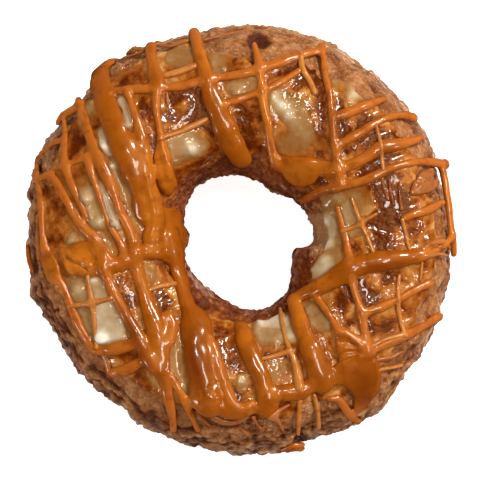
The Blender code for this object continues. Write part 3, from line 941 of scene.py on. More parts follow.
def make_crust(dough, material):
    turns = crust_turns(CRUST_TURNS)
    points, normals = dough.grid(turns)
    rise, fine = crust_relief(points, turns)
    flank = np.broadcast_to(np.sin(turns), rise.shape)
    rise = np.where(points[..., 2] < 0.05, 0, rise)
    shaped = points + normals * rise[..., None]
    shaped[..., 2] = np.maximum(shaped[..., 2], 0)
    hole_side = smoothstep(0.2, -0.5, np.cos(turns)) * smoothstep(0.95, 0.5, np.sin(turns))
    attributes = {
        "ridge": np.clip(fine / 0.35, -2, 2),
        "flank": smoothstep(0.55, 0.0, flank),
        "under": smoothstep(0.0, -0.4, flank),
        "hole_side": np.broadcast_to(hole_side, rise.shape),
        "layers": layer_coordinates(points.reshape(-1, 3), np.broadcast_to(turns, rise.shape).ravel()),
        "rosy": between(ROSY_RIM, np.arctan2(points[..., 1], points[..., 0])),
    }
    faces = ring_faces(*rise.shape)
    make_piece("fried_crust", shaped.reshape(-1, 3), faces, attributes, material)


GLAZE_TURNS = 130
GLAZE_FROM = math.radians(8)
GLAZE_TO = math.radians(176)
GLAZE_CORE = (-3.2, -3.8, -3.2)  # the rows that close the glaze inside the dough


def make_glaze(dough, pours, material):
    top = np.linspace(GLAZE_FROM, GLAZE_TO, GLAZE_TURNS)
    back = np.linspace(GLAZE_TO, GLAZE_FROM, len(GLAZE_CORE) + 2)[1:-1]
    turns = np.concatenate((top, back))
    points, normals = dough.grid(turns)
    level, pale, climb, crinkled = glaze_level(points, normals, turns, pours)
    level[:, GLAZE_TURNS:] = GLAZE_CORE
    depth = level - crust_relief(points, turns)[0]
    shaped = points + normals * level[..., None]
    attributes = {"pale": pale, "depth": np.clip(depth, 0, 1.0), "climb": climb, "crinkled": crinkled}
    faces = ring_faces(*level.shape)
    make_piece("sugar_glaze", shaped.reshape(-1, 3), faces, attributes, material)


# ---------------------------------------------------------------- caramel
FAR = 3.0  # the distance that stands for no caramel near
REACH = 2.0  # how far beyond a strand's surface the distances go
BLEND = 0.8  # how softly one strand runs into another
SPACING = 0.55  # between the sections of a strand
THINNEST = 0.5  # no strand's width is set below this
TALLEST = 3.2  # how high over the dough the caramel is looked for


def strand_path(dough, strand):
    """(points, normals, widths) along a strand laid on the dough, evenly spaced."""
    knots = np.array(strand)
    knots = np.vstack((2 * knots[0] - knots[1], knots, 2 * knots[-1] - knots[-2]))
    share = np.linspace(0, 1, 24, endpoint=False)[:, None]
    spans = []
    for a, b, c, d in zip(knots, knots[1:], knots[2:], knots[3:]):
        bend = share * (c - a)
        bend += share**2 * (2 * a - 5 * b + 4 * c - d)
        bend += share**3 * (3 * b - a - 3 * c + d)
        spans.append(b + bend / 2)
    line = np.vstack((*spans, knots[-2]))
    points = dough.drape(line[:, :2])[0]
    above_girth = np.maximum(points[:, 2:] - GIRTH_HEIGHT, 0)
    line[:, :2] *= 1 - above_girth / CAMERA_DISTANCE
    points = dough.drape(line[:, :2])[0]
    run = np.concatenate(([0], np.cumsum(np.linalg.norm(np.diff(points, axis=0), axis=1))))
    even = np.linspace(0, run[-1], max(3, round(run[-1] / SPACING)))
    line = np.column_stack([np.interp(even, run, line[:, k]) for k in range(3)])
    points, normals = dough.drape(line[:, :2])
    widths = np.maximum(line[:, 2], THINNEST) * (1 + 0.15 * bumps(points, 4.4, 2, 12.0))
    return points, normals, widths


def softened(values, reach):
    """Values along a strand, averaged over reach neighbours to each side."""
    padded = np.pad(values, reach, mode="edge")
    kernel = np.hanning(2 * reach + 3)[1:-1]
    return np.convolve(padded, kernel / kernel.sum(), mode="valid")


class Pour:
    """A distance field in which strands of caramel run together."""

    def __init__(self, low, high, step):
        self.low = np.array(low, float)
        self.step = step
        shape = np.ceil((np.array(high) - self.low) / step).astype(int) + 1
        self.field = np.full(shape, FAR, np.float32)

    def distance(self, points):
        """Distance from the caramel's surface at these points, below zero inside it."""
        where = np.clip((points - self.low) / self.step, 0, np.array(self.field.shape) - 1.001)
        cell = np.floor(where).astype(int)
        share = where - cell
        total = np.zeros(len(points))
        for corner in itertools.product((0, 1), repeat=3):
            weight = np.prod(np.where(corner, share, 1 - share), axis=1)
            total += weight * self.field[tuple((cell + corner).T)]
        return total

    def cover(self, points, normals):
        """How high the caramel already stands over these points."""
        top = np.zeros(len(points))
        for height in np.arange(0.0, TALLEST, 0.2):
            index = np.rint((points + normals * height - self.low) / self.step).astype(int)
            index = np.clip(index, 0, np.array(self.field.shape) - 1)
            top = np.where(self.field[tuple(index.T)] < 0, height, top)
        return top

    def add(self, centres, normals, half_widths, half_heights, power):
        """Pours one strand: a row of flattened beads with straight runs between them. A power
        of 2 gives an oval section, and more gives a flatter top and steeper edges."""
        margin = half_widths.max() + REACH + 2 * self.step
        first = np.floor((centres.min(0) - margin - self.low) / self.step).astype(int)
        last = np.ceil((centres.max(0) + margin - self.low) / self.step).astype(int) + 1
        first = np.maximum(first, 0)
        last = np.minimum(last, self.field.shape)
        block = np.full(last - first, FAR, np.float32)
        corner = self.low + first * self.step
        for k in range(len(centres) - 1):
            pair = slice(k, k + 2)
            ends = centres[pair], normals[pair], half_widths[pair], half_heights[pair]
            self.add_run(block, corner, power, *ends)
        region = tuple(slice(a, b) for a, b in zip(first, last))
        old = self.field[region]
        mix = np.clip(0.5 + 0.5 * (old - block) / BLEND, 0, 1)
        self.field[region] = old + (block - old) * mix - BLEND * mix * (1 - mix)

    def add_run(self, block, corner, power, ends, normals, half_widths, half_heights):
        margin = half_widths.max() + REACH + self.step
        low = np.maximum(np.floor((ends.min(0) - margin - corner) / self.step).astype(int), 0)
        high = np.minimum(np.ceil((ends.max(0) + margin - corner) / self.step).astype(int) + 1, block.shape)
        if np.any(high <= low):
            return
        axes = [corner[k] + self.step * np.arange(low[k], high[k]) for k in range(3)]
        x, y, z = (grid.astype(np.float32) for grid in np.meshgrid(*axes, indexing="ij", sparse=True))
        along = ends[1] - ends[0]
        away = (x - ends[0][0], y - ends[0][1], z - ends[0][2])
        share = sum(away[k] * along[k] for k in range(3)) / (along @ along)
        share = np.clip(share, 0, 1)
        up = [normals[0][k] + share * (normals[1][k] - normals[0][k]) for k in range(3)]
        away = [away[k] - share * along[k] for k in range(3)]
        wide = half_widths[0] + share * (half_widths[1] - half_widths[0])
        tall = half_heights[0] + share * (half_heights[1] - half_heights[0])
        rise = np.abs(sum(away[k] * up[k] for k in range(3)))
        spread = np.sqrt(np.maximum(sum(part**2 for part in away) - rise**2, 0))
        rise, spread = rise / tall, spread / wide
        scale = (spread**power + rise**power) ** (1 / power) + 1e-6
        slope = np.hypot(spread ** (power - 1) / wide, rise ** (power - 1) / tall)
        slope = slope / scale ** (power - 1) + 1e-6
        region = tuple(slice(a, b) for a, b in zip(low, high))
        block[region] = np.minimum(block[region], (scale - 1) / slope)

    def surface(self):
        """(points, quads) of the field's zero level, one point in each cell that it crosses."""
        inside = self.field < 0
        shape = np.array(inside.shape)
        count = np.zeros(shape - 1, np.int8)
        for corner in itertools.product((0, 1), repeat=3):
            count += inside[tuple(slice(c, c + n - 1) for c, n in zip(corner, shape))]
        crossed = (count > 0) & (count < 8)
        cells = np.argwhere(crossed)
        number = np.full(crossed.shape, -1, np.int64)
        number[crossed] = np.arange(len(cells))
        return self.low + self.step * self.crossings(cells), self.quads(inside, number)

    def crossings(self, cells):
        """The middle of the places where the surface crosses each cell's edges, in cells."""
        total = np.zeros(cells.shape)
        found = np.zeros(len(cells))
        for axis in range(3):
            for other in itertools.product((0, 1), repeat=2):
                start = np.insert(other, axis, 0)
                stop = np.insert(other, axis, 1)
                a = self.field[tuple((cells + start).T)]
                b = self.field[tuple((cells + stop).T)]
                hit = (a < 0) != (b < 0)
                share = a[hit] / (a[hit] - b[hit])
                total[hit] += start + share[:, None] * (stop - start)
                found[hit] += 1
        return cells + total / found[:, None]

    def quads(self, inside, number):
        """One quad across each grid edge whose two ends differ."""
        faces = []
        for axis in range(3):
            u, v = [k for k in range(3) if k != axis]
            if axis == 1:
                u, v = v, u
            a = np.take(inside, range(inside.shape[axis] - 1), axis)
            b = np.take(inside, range(1, inside.shape[axis]), axis)
            edges = np.argwhere(a != b)
            edges = edges[(edges[:, u] > 0) & (edges[:, v] > 0)]
            back_u, back_v = np.eye(3, dtype=int)[u], np.eye(3, dtype=int)[v]
            corners = (edges - back_u - back_v, edges - back_v, edges, edges - back_u)
            quad = np.stack([number[tuple(c.T)] for c in corners], axis=1)
            leaving = a[tuple(edges.T)]
            faces.append(np.where(leaving[:, None], quad, quad[:, ::-1]))
        return np.vstack(faces)


def summed(index, vectors, count):
    """The sum of the vectors that share an index, for each of count indices."""
    return np.column_stack([np.bincount(index, weights=vectors[:, k], minlength=count) for k in range(3)])


def relaxed(points, faces, rounds, share):
    """Points drawn towards the middle of their neighbours, a few times over."""
    edges = np.vstack([faces[:, (k, (k + 1) % 4)] for k in range(4)])
    degree = np.bincount(edges[:, 0], minlength=len(points))[:, None]
    for _ in range(rounds):
        total = summed(edges[:, 0], points[edges[:, 1]], len(points))
        points = points + share * (total / degree - points)
    return points


def point_normals(points, faces):
    """Outward normals at the points, from the quads round them."""
    a, b, c, d = (points[faces[:, k]] for k in range(4))
    across = np.cross(c - a, d - b)
    total = sum(summed(faces[:, k], across, len(points)) for k in range(4))
    return total / (np.linalg.norm(total, axis=1, keepdims=True) + 1e-12)


SEAT = 0.15  # how far above the smooth dough a strand's axis lies
EMBED = 0.22  # and how much further, as a share of its half height


def pour_strands(pour, dough, strands, fullness, climb, power=2, others=()):
    """Pours strands in turn. Fullness sets how tall they are for their width, and climb how much
    of the caramel beneath each one lifts it."""
    for strand in strands:
        points, normals, widths = strand_path(dough, strand)
        half_heights = fullness * widths**0.6
        lift = np.zeros(len(points))
        for field in (pour, *others):
            lift = np.maximum(lift, field.cover(points, normals))
        lift = climb * softened(lift, 3)
        centres = points + normals * (SEAT + EMBED * half_heights + lift)[:, None]
        pour.add(centres, normals, widths / 2, half_heights, power)


def slenderness(plan, strands):
    """From 0 on broad strands to 1 on thin ones, at (n, 2) plan positions."""
    nearest = np.full(len(plan), 1e9)
    width = np.ones(len(plan))
    for strand in strands:
        away, wide = line_distance(plan, strand)
        width = np.where(away / wide < nearest, wide, width)
        nearest = np.minimum(away / wide, nearest)
    return smoothstep(3.8, 1.9, width)


def make_caramel(name, pour, strands, dough, material, wobble):
    """Makes one piece of a pour, with its folds and with an uneven surface of this wobble."""
    points, faces = pour.surface()
    points = relaxed(points, faces, 2, 0.5)
    rise = wobble * bumps(points, 3.2, 1, 21.0)
    plan = seen_plan(points) + 0.15 * bumps(points, 1.6, 1, 23.0)[:, None]
    for height, line in FOLDS:
        distance, width = line_distance(plan, line)
        rise += height * np.exp(-((distance / width) ** 2))
    points = points + point_normals(points, faces) * rise[:, None]
    surface = dough.drape(points[:, :2])[0]
    attributes = {
        "depth": points[:, 2] - surface[:, 2],
        "tone_and_painted_light": tones(CARAMEL_TONES_AND_PAINTED_LIGHT, plan),
        "slender": slenderness(plan, strands),
    }
    make_piece(name, points, faces, attributes, material)


# ---------------------------------------------------------------- materials
def srgb(red, green, blue):
    """A colour given as 0 to 255 screen values, as the linear values that shaders take."""
    linear = []
    for value in (red, green, blue):
        value /= 255
        linear.append(value / 12.92 if value <= 0.04045 else ((value + 0.055) / 1.055) ** 2.4)
    return (*linear, 1.0)


class Shade:
    """A material whose node network is written as short calls."""

    def __init__(self, name):
        self.material = bpy.data.materials.new(name)
        self.material.use_nodes = True
        self.tree = self.material.node_tree
        self.shader = self.tree.nodes["Principled BSDF"]
        self.coordinates = self.tree.nodes.new("ShaderNodeTexCoord").outputs["Object"]

    def node(self, kind, inputs, **settings):
        made = self.tree.nodes.new(kind)
        for key, value in settings.items():
            setattr(made, key, value)
        for key, value in inputs.items():
            self.feed(made.inputs[key], value)
        return made

    def feed(self, socket, value):
        if isinstance(value, bpy.types.NodeSocket):
            self.tree.links.new(value, socket)
        else:
            socket.default_value = value

    def set(self, **values):
        """Sets the shader's own sockets: underscores stand for the spaces in their names."""
        for key, value in values.items():
            self.feed(self.shader.inputs[key.replace("_", " ")], value)

    def noise_at(self, where, scale, detail=3.0, rough=0.55):
        """Noise over any coordinates, with scale features to each unit of theirs."""
        inputs = {"Vector": where, "Scale": scale, "Detail": detail, "Roughness": rough}
        return self.node("ShaderNodeTexNoise", inputs).outputs["Fac"]

    def noise(self, size, detail=3.0, rough=0.55):
        """Noise with features about size mm across."""
        return self.noise_at(self.coordinates, 1 / (size * MM), detail, rough)

    def attribute(self, name, output="Fac"):
        return self.node("ShaderNodeAttribute", {}, attribute_name=name).outputs[output]

    def math(self, operation, a, b=0.0, clamp=False):
        return self.node("ShaderNodeMath", {0: a, 1: b}, operation=operation, use_clamp=clamp).outputs[0]

    def times(self, first, *others):
        """The product of two or more values."""
        for other in others:
            first = self.math("MULTIPLY", first, other)
        return first

    def plus(self, first, *others):
        """The sum of two or more values."""
        for other in others:
            first = self.math("ADD", first, other)
        return first

    def offset(self, value, middle, share):
        """How far the value lies over this middle, times a share."""
        return self.times(self.math("SUBTRACT", value, middle), share)

    def spread(self, value, low, high, to_low=0.0, to_high=1.0):
        """The value's range from low to high, stretched over to_low to to_high and clamped."""
        inputs = {"Value": value, "From Min": low, "From Max": high, "To Min": to_low, "To Max": to_high}
        return self.node("ShaderNodeMapRange", inputs, interpolation_type="SMOOTHSTEP").outputs[0]

    def ramp(self, value, stops):
        """The colour that rows of (position, colour) give a value."""
        made = self.node("ShaderNodeValToRGB", {"Fac": value})
        elements = made.color_ramp.elements
        while len(elements) < len(stops):
            elements.new(0.5)
        for element, (position, colour) in zip(elements, stops):
            element.position = position
            element.color = srgb(*colour)
        return made.outputs["Color"]

    def mix(self, share, a, b, blend="MIX"):
        made = self.node("ShaderNodeMix", {0: share, 6: a, 7: b}, data_type="RGBA", blend_type=blend)
        return made.outputs[2]

    def paint(self, share, under, colour):
        """This share of one plain colour over another colour."""
        return self.mix(share, under, srgb(*colour))

    def bump(self, height, depth, normal=None):
        """A bump of this depth in mm, over an optional coarser one."""
        inputs = {"Height": height, "Distance": depth * MM, "Strength": 1.0}
        if normal is not None:
            inputs["Normal"] = normal
        return self.node("ShaderNodeBump", inputs).outputs["Normal"]


# Ramps from dark to pale: (position, (red, green, blue) from 0 to 255).
CRUST_BROWNS = (
    (0.28, (112, 54, 18)),
    (0.42, (160, 92, 42)),
    (0.56, (194, 126, 72)),
    (0.72, (218, 162, 112)),
)
WARM_LAYERS = ((0.34, (116, 50, 10)), (0.47, (212, 132, 68)), (0.59, (248, 194, 134)))
ROSY_LAYERS = (
    (0.37, (78, 28, 14)),
    (0.47, (156, 100, 74)),
    (0.55, (212, 164, 138)),
    (0.63, (250, 224, 208)),
)
FOOT_BROWNS = ((0.30, (140, 70, 26)), (0.50, (188, 112, 54)), (0.70, (222, 158, 100)))
HOLE_BROWNS = ((0.35, (88, 22, 0)), (0.52, (144, 56, 4)), (0.70, (202, 118, 44)))
AMBER_GLAZE = (
    (0.22, (96, 34, 0)),
    (0.38, (140, 66, 8)),
    (0.52, (166, 92, 26)),
    (0.64, (184, 116, 50)),
    (0.82, (204, 154, 92)),
)
WINDOW_GLAZE = (
    (0.07, (146, 78, 20)),
    (0.25, (146, 92, 40)),
    (0.42, (154, 108, 60)),
    (0.60, (174, 138, 94)),
    (0.74, (196, 172, 138)),
    # the near-white top is a painted highlight, reached where painted glints and pale tones lift the
    # windows
    (1.0, (240, 232, 216)),
)

SPECK_COLOUR = (112, 48, 10)
# painted shade in the crust's hollows
PAINTED_HOLLOW_SHADE = (92, 30, 6)
# painted sheen, as of reflected pale light, on the rosy flank
PAINTED_FLANK_SHEEN = (226, 190, 172)
# painted shade in the rosy side's crevices
PAINTED_CREVICE_SHADE = (74, 22, 6)
# painted light on the crust's ridges
PAINTED_RIDGE_LIGHT = (226, 176, 122)
GRAIN_COLOUR = (246, 196, 136)
# where the glaze climbs the caramel: partly gathered amber, partly painted contact shade
CLIMB_AMBER_AND_CONTACT_SHADE = (106, 40, 0)
MOTTLE_COLOUR = (180, 100, 20)
# darker and paler spots of the caramel: partly its own tone, partly painted shade and painted highlights
DARK_TONE_AND_PAINTED_SHADE = (104, 36, 0)
PALE_TONE_AND_PAINTED_LIGHT = (204, 118, 28)
RUST_COLOUR = (134, 58, 6)

CRUST_TINT = (1.0, 0.75, 0.45, 1.0)  # of the highlights
GLAZE_TINT = (1.0, 0.7, 0.35, 1.0)
CARAMEL_TINT = (1.0, 0.56, 0.24, 1.0)
GLAZE_SCATTER = (1.0, 0.7, 0.4)  # how far red, green and blue light go, as shares of the depth
CARAMEL_SCATTER = (1.0, 0.45, 0.2)
GLAZE_SCATTER_DEPTH = 0.0012  # in metres, like the next one
CARAMEL_SCATTER_DEPTH = 0.0015


def rim_colour(shade, layered):
    """Thin layers, greyer and rosier towards the lower left, partly as a painted sheen of reflected pale
    light, and plainly fried dough at the foot.
    """
    warm = shade.ramp(layered, WARM_LAYERS)
    rosy = shade.ramp(layered, ROSY_LAYERS)
    # rosy layers: partly the crust's own colour, partly a painted sheen
    layers = shade.mix(shade.attribute("rosy"), warm, rosy)
    foot = shade.ramp(shade.noise(4.0, 4, 0.6), FOOT_BROWNS)
    return shade.mix(shade.times(shade.attribute("under"), 0.95), layers, foot)


def crust_colour(shade, ridge, layered):
    """The browns of the top, the rim and the hole's wall."""
    # the relief's share makes raised crust paler and sunk crust darker, as painted light and shade
    browning_and_relief_light = shade.plus(shade.noise(5.0, 4, 0.6), shade.times(ridge, 0.10))
    colour = shade.ramp(browning_and_relief_light, CRUST_BROWNS)
    on_flank = shade.times(shade.attribute("flank"), 0.85)
    colour = shade.mix(on_flank, colour, rim_colour(shade, layered))
    hole = shade.ramp(shade.noise(1.6, 4, 0.6), HOLE_BROWNS)
    return shade.mix(shade.times(shade.attribute("hole_side"), 0.9), colour, hole)


def crust_marks(shade, colour, ridge):
    """Adds specks, painted shade in the hollows and the rosy side's crevices, a painted sheen in spots on
    the rosy side, painted light on the ridges, and pale grains.
    """
    rosy = shade.attribute("rosy")
    flank = shade.attribute("flank")
    speck = shade.spread(shade.noise(0.8, 3, 0.6), 0.56, 0.40)
    colour = shade.paint(shade.times(speck, 0.35), colour, SPECK_COLOUR)
    # painted shade in the hollows of the relief
    colour = shade.paint(shade.spread(ridge, -0.3, -1.8, 0.0, 0.9), colour, PAINTED_HOLLOW_SHADE)
    # a painted sheen in spots on the rosy flank
    painted_sheen_spots = shade.spread(shade.noise(3.2, 3, 0.5), 0.50, 0.62, 0.0, 0.65)
    above_foot = shade.spread(shade.attribute("under"), 0.0, 0.7, 1.0, 0.0)
    colour = shade.paint(shade.times(painted_sheen_spots, flank, rosy, above_foot), colour, PAINTED_FLANK_SHEEN)
    # painted shade in the crevices of the rosy flank
    crevice_shade = shade.spread(ridge, 0.0, -1.1, 0.0, 0.8)
    colour = shade.paint(shade.times(crevice_shade, rosy, flank), colour, PAINTED_CREVICE_SHADE)
    # painted light on the raised ridges
    lit = shade.spread(ridge, 0.4, 1.3)
    colour = shade.paint(shade.times(lit, 0.5), colour, PAINTED_RIDGE_LIGHT)
    grains = shade.spread(shade.noise(0.6, 3, 0.6), 0.54, 0.68, 0.0, 0.45)
    off_rosy = shade.spread(rosy, 0.2, 1.0, 1.0, 0.2)
    off_hollows = shade.spread(ridge, -1.0, 0.0)
    off_hole = shade.spread(shade.attribute("hole_side"), 0.0, 1.0, 1.0, 0.0)
    return shade.paint(shade.times(grains, off_rosy, off_hollows, off_hole), colour, GRAIN_COLOUR)


def crust_material():
    shade = Shade("fried_crust")
    ridge = shade.attribute("ridge")
    layered = shade.noise_at(shade.attribute("layers", "Vector"), 1.5, 4, 0.65)
    colour = crust_marks(shade, crust_colour(shade, ridge, layered), ridge)
    above_foot = shade.spread(shade.attribute("under"), 0, 1, 1, 0.2)
    flaky = shade.bump(shade.times(layered, above_foot), 0.8)
    coarse = shade.bump(shade.noise(1.1, 5, 0.65), 0.8, flaky)
    shade.set(Base_Color=colour, Roughness=0.45, Normal=coarse)
    shade.set(Specular_IOR_Level=0.3, Specular_Tint=CRUST_TINT)
    shade.set(Coat_Weight=0.6, Coat_Roughness=0.12, Coat_Normal=coarse)
    return shade.material


def glaze_colour(shade, pale, grit, climb):
    """Blotchy amber, with pale windows where the glaze is thick, and darker where it climbs the caramel:
    partly amber gathered there, partly painted contact shade.
    """
    patchy = shade.spread(shade.noise(4.5, 4, 0.55), 0.2, 0.8, 0.14, 0.86)
    darkened = shade.math("MINIMUM", pale, 0.0)
    spots = shade.offset(grit, 0.5, 0.5)
    sunk = shade.offset(shade.attribute("depth"), 0.25, 0.35)
    amber = shade.ramp(shade.plus(patchy, darkened, spots, sunk), AMBER_GLAZE)
    ragged = shade.offset(shade.noise(3.0, 4, 0.6), 0.5, 0.9)
    ragged = shade.plus(ragged, shade.offset(shade.noise(1.3, 2, 0.5), 0.5, 0.4))
    ragged = shade.times(ragged, shade.spread(pale, 0.5, 1.0, 1.0, 0.5))  # thick glaze is smoother
    paleness = shade.plus(pale, ragged)
    window = shade.ramp(shade.times(paleness, 0.7), WINDOW_GLAZE)
    colour = shade.mix(shade.spread(paleness, 0.05, 0.55), amber, window)
    # painted contact shade, with some gathered amber, where the glaze climbs the caramel
    return shade.paint(shade.spread(climb, 0.14, 0.40, 0.0, 0.6), colour, CLIMB_AMBER_AND_CONTACT_SHADE)


def glaze_film(shade, pale, climb):
    """The relief of the clear film on top: swells, folds in the crinkled spots, and the climb."""
    swell = shade.times(shade.noise(2.6, 2, 0.45), shade.spread(pale, 0.2, 0.7, 0.65, 0.75))
    swell = shade.times(swell, shade.spread(pale, -0.3, -0.05, 0.25, 1.0))
    crinkled = shade.spread(shade.attribute("crinkled"), 0.0, 0.5, 0.0, 0.9)
    folds = shade.times(shade.noise(0.9, 1, 0.5), crinkled)
    return shade.bump(shade.plus(swell, folds, climb), 0.6)


def glaze_material():
    shade = Shade("sugar_glaze")
    pale = shade.attribute("pale")
    climb = shade.attribute("climb")
    grit = shade.noise(1.3, 3, 0.5)
    grain = shade.bump(shade.times(grit, shade.spread(pale, 0.4, 0.0, 0.08, 1.0)), 0.5)
    shade.set(Base_Color=glaze_colour(shade, pale, grit, climb), Roughness=0.35, Normal=grain)
    shade.set(Specular_IOR_Level=0.3, Specular_Tint=GLAZE_TINT)
    shade.set(Coat_Weight=0.50, Coat_Roughness=0.07, Coat_Normal=glaze_film(shade, pale, climb))
    shade.set(Subsurface_Weight=0.15, Subsurface_Radius=GLAZE_SCATTER)
    shade.set(Subsurface_Scale=GLAZE_SCATTER_DEPTH)
    return shade.material


def caramel_material(name, thin, thick, edge, crest):
    """Caramel with these colours where it is thin and thick, and at slender strands' edge and crest: the
    darker thin edges are partly painted shade, and the paler crests partly painted light.
    """
    shade = Shade(name)
    body = shade.spread(shade.attribute("depth"), 0.1, 1.0)
    # darker thin edges and paler tops: partly painted shade and painted light
    broad = shade.mix(body, srgb(*thin), srgb(*thick))
    slender = shade.mix(body, srgb(*edge), srgb(*crest))
    colour = shade.mix(shade.attribute("slender"), broad, slender)
    mottle = shade.spread(shade.noise(5.0, 3, 0.5), 0.3, 0.7)
    colour = shade.paint(shade.times(mottle, 0.3), colour, MOTTLE_COLOUR)
    tone_and_painted_light = shade.attribute("tone_and_painted_light")
    # painted shade and painted highlights, with the caramel's own tone, from the tone spots
    colour = shade.paint(shade.math("MULTIPLY", tone_and_painted_light, 0.75, True), colour, DARK_TONE_AND_PAINTED_SHADE)
    colour = shade.paint(shade.math("MULTIPLY", tone_and_painted_light, -0.6, True), colour, PALE_TONE_AND_PAINTED_LIGHT)
    rusty = shade.spread(shade.noise(2.4, 3, 0.6), 0.50, 0.34, 0.0, 0.5)
    colour = shade.paint(rusty, colour, RUST_COLOUR)
    waves = shade.bump(shade.noise(2.6, 2, 0.5), 0.16)
    shade.set(Base_Color=colour, Roughness=0.36, Normal=waves)
    shade.set(Specular_IOR_Level=0.35, Specular_Tint=CARAMEL_TINT)
    shade.set(Coat_Weight=0.44, Coat_Roughness=0.10)
    shade.set(Subsurface_Weight=0.25, Subsurface_Radius=CARAMEL_SCATTER)
    shade.set(Subsurface_Scale=CARAMEL_SCATTER_DEPTH)
    return shade.material


# ---------------------------------------------------------------- stage, light and camera
FRAME_WIDTH = 99.65
CAMERA_OFFSET = (-0.10, -0.41)  # the ring sits a little off the middle of the view
SENSOR = 36.0
# (name, azimuth, altitude, distance, size, power in watts, colour), with the angles in degrees
LIGHTS = (
    ("key", 40.0, 43.0, 700.0, 120.0, 4.1, (1.0, 0.95, 0.88)),
    ("fill", 205.0, 48.0, 700.0, 260.0, 1.0, (1.0, 0.97, 0.94)),
    ("right", 350.0, 34.0, 700.0, 70.0, 0.85, (1.0, 0.95, 0.88)),
    ("shine", 350.0, 74.0, 700.0, 230.0, 1.7, (1.0, 0.97, 0.92)),
    ("side", 214.0, 22.0, 700.0, 90.0, 0.7, (1.0, 0.97, 0.94)),
    ("top", 70.0, 76.0, 760.0, 70.0, 1.1, (1.0, 0.97, 0.92)),
)
SHINE_HEIGHT = 80.0
WORLD_COLOUR = (1.0, 0.88, 0.70, 1.0)
WORLD_STRENGTH = 0.15
FLOOR_COLOUR = (246, 246, 246)
FLOOR_GLOW = 0.9  # the photo's background is white
FLOOR_SIZE = 3000.0


def floor_material():
    shade = Shade("pale_floor")
    shade.set(Base_Color=srgb(*FLOOR_COLOUR), Roughness=0.9, Specular_IOR_Level=0.1)
    shade.set(Emission_Color=(1, 1, 1, 1), Emission_Strength=FLOOR_GLOW)
    return shade.material


def make_stage():
    bpy.ops.mesh.primitive_plane_add(size=FLOOR_SIZE * MM)
    floor = bpy.context.object
    floor.name = "floor"
    floor.data.materials.append(floor_material())
    floor.visible_glossy = False  # a white floor would veil the flanks


def add_area(name, azimuth, altitude, distance, size, power, colour):
    data = bpy.data.lights.new(name, "AREA")
    data.energy = power
    data.size = size * MM
    data.color = colour
    lamp = bpy.data.objects.new(name, data)
    a, e = math.radians(azimuth), math.radians(altitude)
    away = Vector((math.cos(a) * math.cos(e), math.sin(a) * math.cos(e), math.sin(e)))
    lamp.location = away * (distance * MM)
    lamp.rotation_euler = away.to_track_quat("Z", "Y").to_euler()
    bpy.context.scene.collection.objects.link(lamp)
    return lamp


def make_lights():
    lamps = {name: add_area(name, *values) for name, *values in LIGHTS}
    lamps["fill"].visible_glossy = False  # it softens the shadows without a highlight
    shine = lamps["shine"]
    shine.data.shape = "RECTANGLE"  # a strip, for long highlights down the strands
    shine.data.size_y = SHINE_HEIGHT * MM
    shine.visible_diffuse = False  # it only adds highlights


def make_world():
    world = bpy.data.worlds.new("studio")
    bpy.context.scene.world = world
    world.use_nodes = True
    background = world.node_tree.nodes["Background"]
    background.inputs["Color"].default_value = WORLD_COLOUR
    background.inputs["Strength"].default_value = WORLD_STRENGTH
    world.cycles_visibility.glossy = False


def make_camera():
    data = bpy.data.cameras.new("camera")
    data.sensor_width = SENSOR
    data.lens = SENSOR * CAMERA_DISTANCE / FRAME_WIDTH
    camera = bpy.data.objects.new("camera", data)
    x, y = CAMERA_OFFSET
    camera.location = Vector((x, y, GIRTH_HEIGHT + CAMERA_DISTANCE)) * MM
    bpy.context.scene.collection.objects.link(camera)
    bpy.context.scene.camera = camera


# ---------------------------------------------------------------- the scene
DOUGH = Dough(RING)
FIELD_LOW = (-48.0, -48.0, 2.0)  # the corners of the box in which the caramel is poured
FIELD_HIGH = (48.0, 48.0, 34.0)
THICK_STEP = 0.33  # between the grid's points, which is finer for thinner caramel
FILM_STEP = 0.25
THREAD_STEP = 0.22

# How full each kind of strand is, and how much the caramel beneath lifts it.
POOL_FULLNESS, POOL_LIFT = 0.22, 0.0
SHALLOW_FULLNESS, SHALLOW_LIFT = 0.56, 0.4
STEEP_FULLNESS, STEEP_LIFT = 0.56, 0.5
FILM_FULLNESS, FILM_LIFT = 0.34, 0.6
THREAD_FULLNESS, THREAD_LIFT = 0.60, 0.8
ROUND, BLUNT = 2, 4  # the power of a section's outline

# How high the glaze climbs the caramel, and how far from it that reaches.
STRAND_CLIMB, STRAND_REACH = 0.42, 0.7
THREAD_CLIMB, THREAD_REACH = 0.10, 0.5

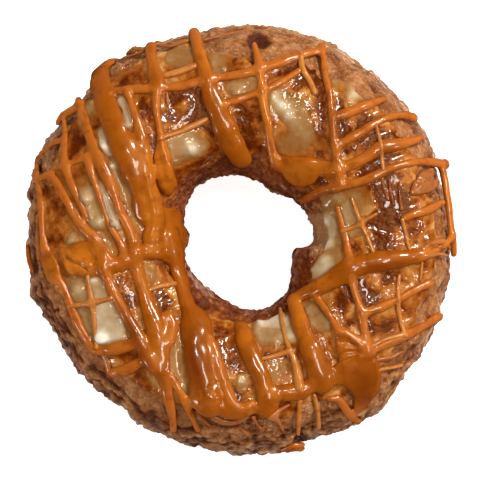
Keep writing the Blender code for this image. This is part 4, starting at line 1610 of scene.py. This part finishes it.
# How uneven each kind of caramel's surface is.
STRAND_WOBBLE = 0.12
FILM_WOBBLE = 0.10
THREAD_WOBBLE = 0.04

# Colours where the caramel is thin and thick, and at the edge and the crest of slender strands: darker at
# the thin edges partly as painted shade, paler on the middles and crests partly as painted light.
STRAND_COLOURS = ((112, 40, 0), (158, 80, 8), (112, 42, 2), (184, 101, 35))
FILM_COLOURS = ((140, 76, 34), (160, 92, 44), (150, 82, 38), (172, 106, 56))
THREAD_COLOURS = ((146, 78, 22), (182, 112, 50), (146, 78, 22), (196, 126, 60))

thick = Pour(FIELD_LOW, FIELD_HIGH, THICK_STEP)
pour_strands(thick, DOUGH, POOLS, POOL_FULLNESS, POOL_LIFT, BLUNT)
pour_strands(thick, DOUGH, SHALLOW, SHALLOW_FULLNESS, SHALLOW_LIFT)
pour_strands(thick, DOUGH, STEEP, STEEP_FULLNESS, STEEP_LIFT)
films = Pour(FIELD_LOW, FIELD_HIGH, FILM_STEP)
pour_strands(films, DOUGH, FILMS, FILM_FULLNESS, FILM_LIFT, ROUND, (thick,))
threads = Pour(FIELD_LOW, FIELD_HIGH, THREAD_STEP)
pour_strands(threads, DOUGH, THREADS, THREAD_FULLNESS, THREAD_LIFT, ROUND, (thick,))

climbed = ((thick, STRAND_CLIMB, STRAND_REACH), (threads, THREAD_CLIMB, THREAD_REACH))
make_crust(DOUGH, crust_material())
make_glaze(DOUGH, climbed, glaze_material())
strand_caramel = caramel_material("caramel", *STRAND_COLOURS)
film_caramel = caramel_material("film_caramel", *FILM_COLOURS)
thread_caramel = caramel_material("thin_caramel", *THREAD_COLOURS)
make_caramel("caramel_strands", thick, POOLS + SHALLOW + STEEP, DOUGH, strand_caramel, STRAND_WOBBLE)
make_caramel("caramel_films", films, FILMS, DOUGH, film_caramel, FILM_WOBBLE)
make_caramel("caramel_threads", threads, THREADS, DOUGH, thread_caramel, THREAD_WOBBLE)

make_stage()
make_lights()
make_world()
make_camera()
bpy.context.scene.view_settings.view_transform = "Standard"
